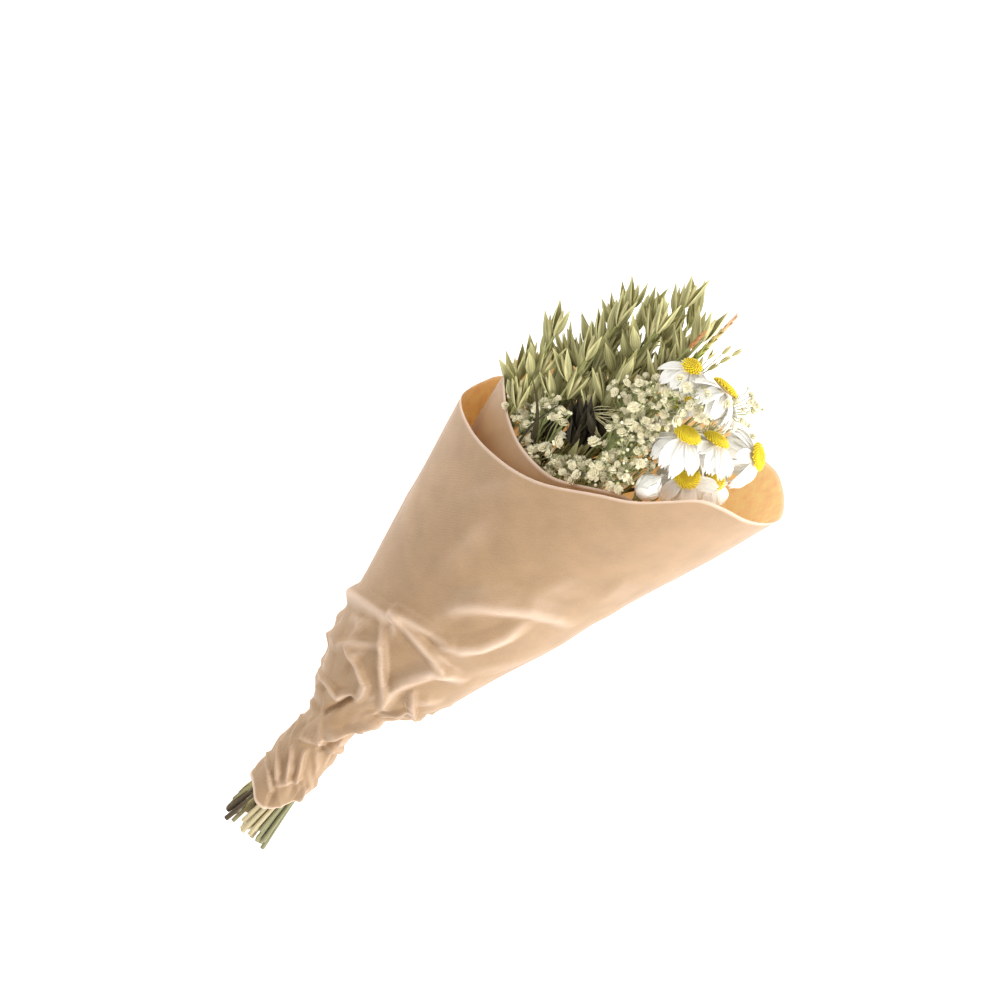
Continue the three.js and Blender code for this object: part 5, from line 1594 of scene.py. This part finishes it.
class BouquetOats(bpy.types.PropertyGroup):
    husk_width: bpy.props.FloatProperty(
        name="Husk width", description="Width of one oat husk",
        default=0.0062, min=0.003, max=0.008, unit="LENGTH")
    husk: colour_property("Husk", "Colour of the husks where they are still green", "#99966A")
    straw: colour_property("Straw", "Colour of the rims, the tips and the kernels", "#D9D6A2")
    stalk: colour_property("Stalk", "Colour of the oat stalks", "#979A5C")


class BouquetSprays(bpy.types.PropertyGroup):
    bloom_size: bpy.props.FloatProperty(
        name="Bloom size", description="Size of the blooms over their usual size",
        default=1.25, min=0.6, max=1.3, subtype="FACTOR")
    petal: colour_property("Petals", "Colour of the blooms", "#FFF7D6")
    stalk: colour_property("Twigs", "Colour of the thin stalks", "#A3AA70")


class BouquetDaisies(bpy.types.PropertyGroup):
    petal_width: bpy.props.FloatProperty(
        name="Petal width", description="Width of the petals over their usual width",
        default=1.45, min=0.6, max=1.6, subtype="FACTOR")
    petal: colour_property("Petals", "Colour of the petals", "#FFFDF6")
    heart: colour_property("Heart", "Colour of fresh disc florets", "#FBE51C")
    old_heart: colour_property("Old heart", "Colour of florets in the shade and at the rim", "#D8B315")
    bract: colour_property("Bud", "Colour of the closed bud", "#F6F3E8")


class BouquetStage(bpy.types.PropertyGroup):
    floor: colour_property("Floor", "Colour of the table", "#FFFFFF")
    glow: bpy.props.FloatProperty(
        name="Table glow", description="Light from the table itself", default=0.55, min=0)
    fill: bpy.props.FloatProperty(
        name="Fill", description="Light from the white walls", default=0.8, min=0)
    key: bpy.props.FloatProperty(
        name="Key", description="Power of the larger softbox", default=21.0, min=0, unit="POWER")


GROUPS = (("paper", BouquetPaper), ("oats", BouquetOats), ("sprays", BouquetSprays),
          ("daisies", BouquetDaisies), ("stage", BouquetStage))


def chosen(name):
    return getattr(bpy.context.scene, "bouquet_" + name)


# ---- Operators, the panel, and the run ----

class MakePaper(bpy.types.Operator):
    """Makes the twisted cone of kraft paper"""
    bl_idname = "bouquet.paper"
    bl_label = "Kraft Paper Cone"

    def execute(self, context):
        make_paper(chosen("paper"))
        return {"FINISHED"}


class MakeTie(bpy.types.Operator):
    """Gives the tie at the neck its jute"""
    bl_idname = "bouquet.tie"
    bl_label = "Jute Tie"

    def execute(self, context):
        make_tie(chosen("paper"))
        return {"FINISHED"}


class MakeOats(bpy.types.Operator):
    """Makes the oat heads and their stalks"""
    bl_idname = "bouquet.oats"
    bl_label = "Oat Heads"

    def execute(self, context):
        make_oats(chosen("oats"))
        return {"FINISHED"}


class MakeSprays(bpy.types.Operator):
    """Makes the sprays of baby's breath"""
    bl_idname = "bouquet.sprays"
    bl_label = "Baby's Breath"

    def execute(self, context):
        make_sprays(chosen("sprays"))
        return {"FINISHED"}


class MakeDaisies(bpy.types.Operator):
    """Makes the white daisies"""
    bl_idname = "bouquet.daisies"
    bl_label = "Daisies"

    def execute(self, context):
        make_daisies(chosen("daisies"))
        return {"FINISHED"}


class MakeBud(bpy.types.Operator):
    """Makes the closed papery bud"""
    bl_idname = "bouquet.bud"
    bl_label = "Closed Bud"

    def execute(self, context):
        make_bud(chosen("daisies"))
        return {"FINISHED"}


class MakeSpikes(bpy.types.Operator):
    """Makes the grass spike and the dock tip"""
    bl_idname = "bouquet.spikes"
    bl_label = "Grass Spike and Dock Tip"

    def execute(self, context):
        green, brown = (srgb("#B4BA5C"), srgb("#E8AE94")), (srgb("#A4713E"), srgb("#C48C5C"))
        make_scaled_tip("grass_spike", "grass_spike_head", SPIKE, green, "grass_spike", 71, 26, 3.0)
        make_scaled_tip("dock_tip", "dock_head", DOCK, brown, "dock", 72, 12, 3.2)
        return {"FINISHED"}


class MakeStage(bpy.types.Operator):
    """Makes the white table, the softboxes and the camera"""
    bl_idname = "bouquet.stage"
    bl_label = "Stage"

    def execute(self, context):
        make_stage(chosen("stage"))
        return {"FINISHED"}


OPERATORS = (MakePaper, MakeTie, MakeOats, MakeSprays, MakeDaisies, MakeBud, MakeSpikes, MakeStage)


class BouquetPanel(bpy.types.Panel):
    """Sizes and colours of the bouquet, and what makes each piece"""
    bl_idname = "VIEW3D_PT_bouquet"
    bl_label = "Dried Flower Bouquet"
    bl_space_type = "VIEW_3D"
    bl_region_type = "UI"
    bl_category = "Bouquet"

    def draw(self, context):
        for name, group in GROUPS:
            box = self.layout.box()
            box.label(text=name.title())
            for key in group.__annotations__:
                box.prop(chosen(name), key)
        for operator in OPERATORS:
            self.layout.operator(operator.bl_idname)


CLASSES = tuple(group for _, group in GROUPS) + OPERATORS + (BouquetPanel,)


def register():
    for cls in CLASSES:
        bpy.utils.register_class(cls)
    for name, group in GROUPS:
        setattr(bpy.types.Scene, "bouquet_" + name, bpy.props.PointerProperty(type=group))


def unregister():
    for name, _ in GROUPS:
        delattr(bpy.types.Scene, "bouquet_" + name)
    for cls in reversed(CLASSES):
        bpy.utils.unregister_class(cls)


def main():
    register()
    for operator in OPERATORS:
        getattr(bpy.ops.bouquet, operator.bl_idname.split(".")[1])()


if __name__ == "__main__":
    main()
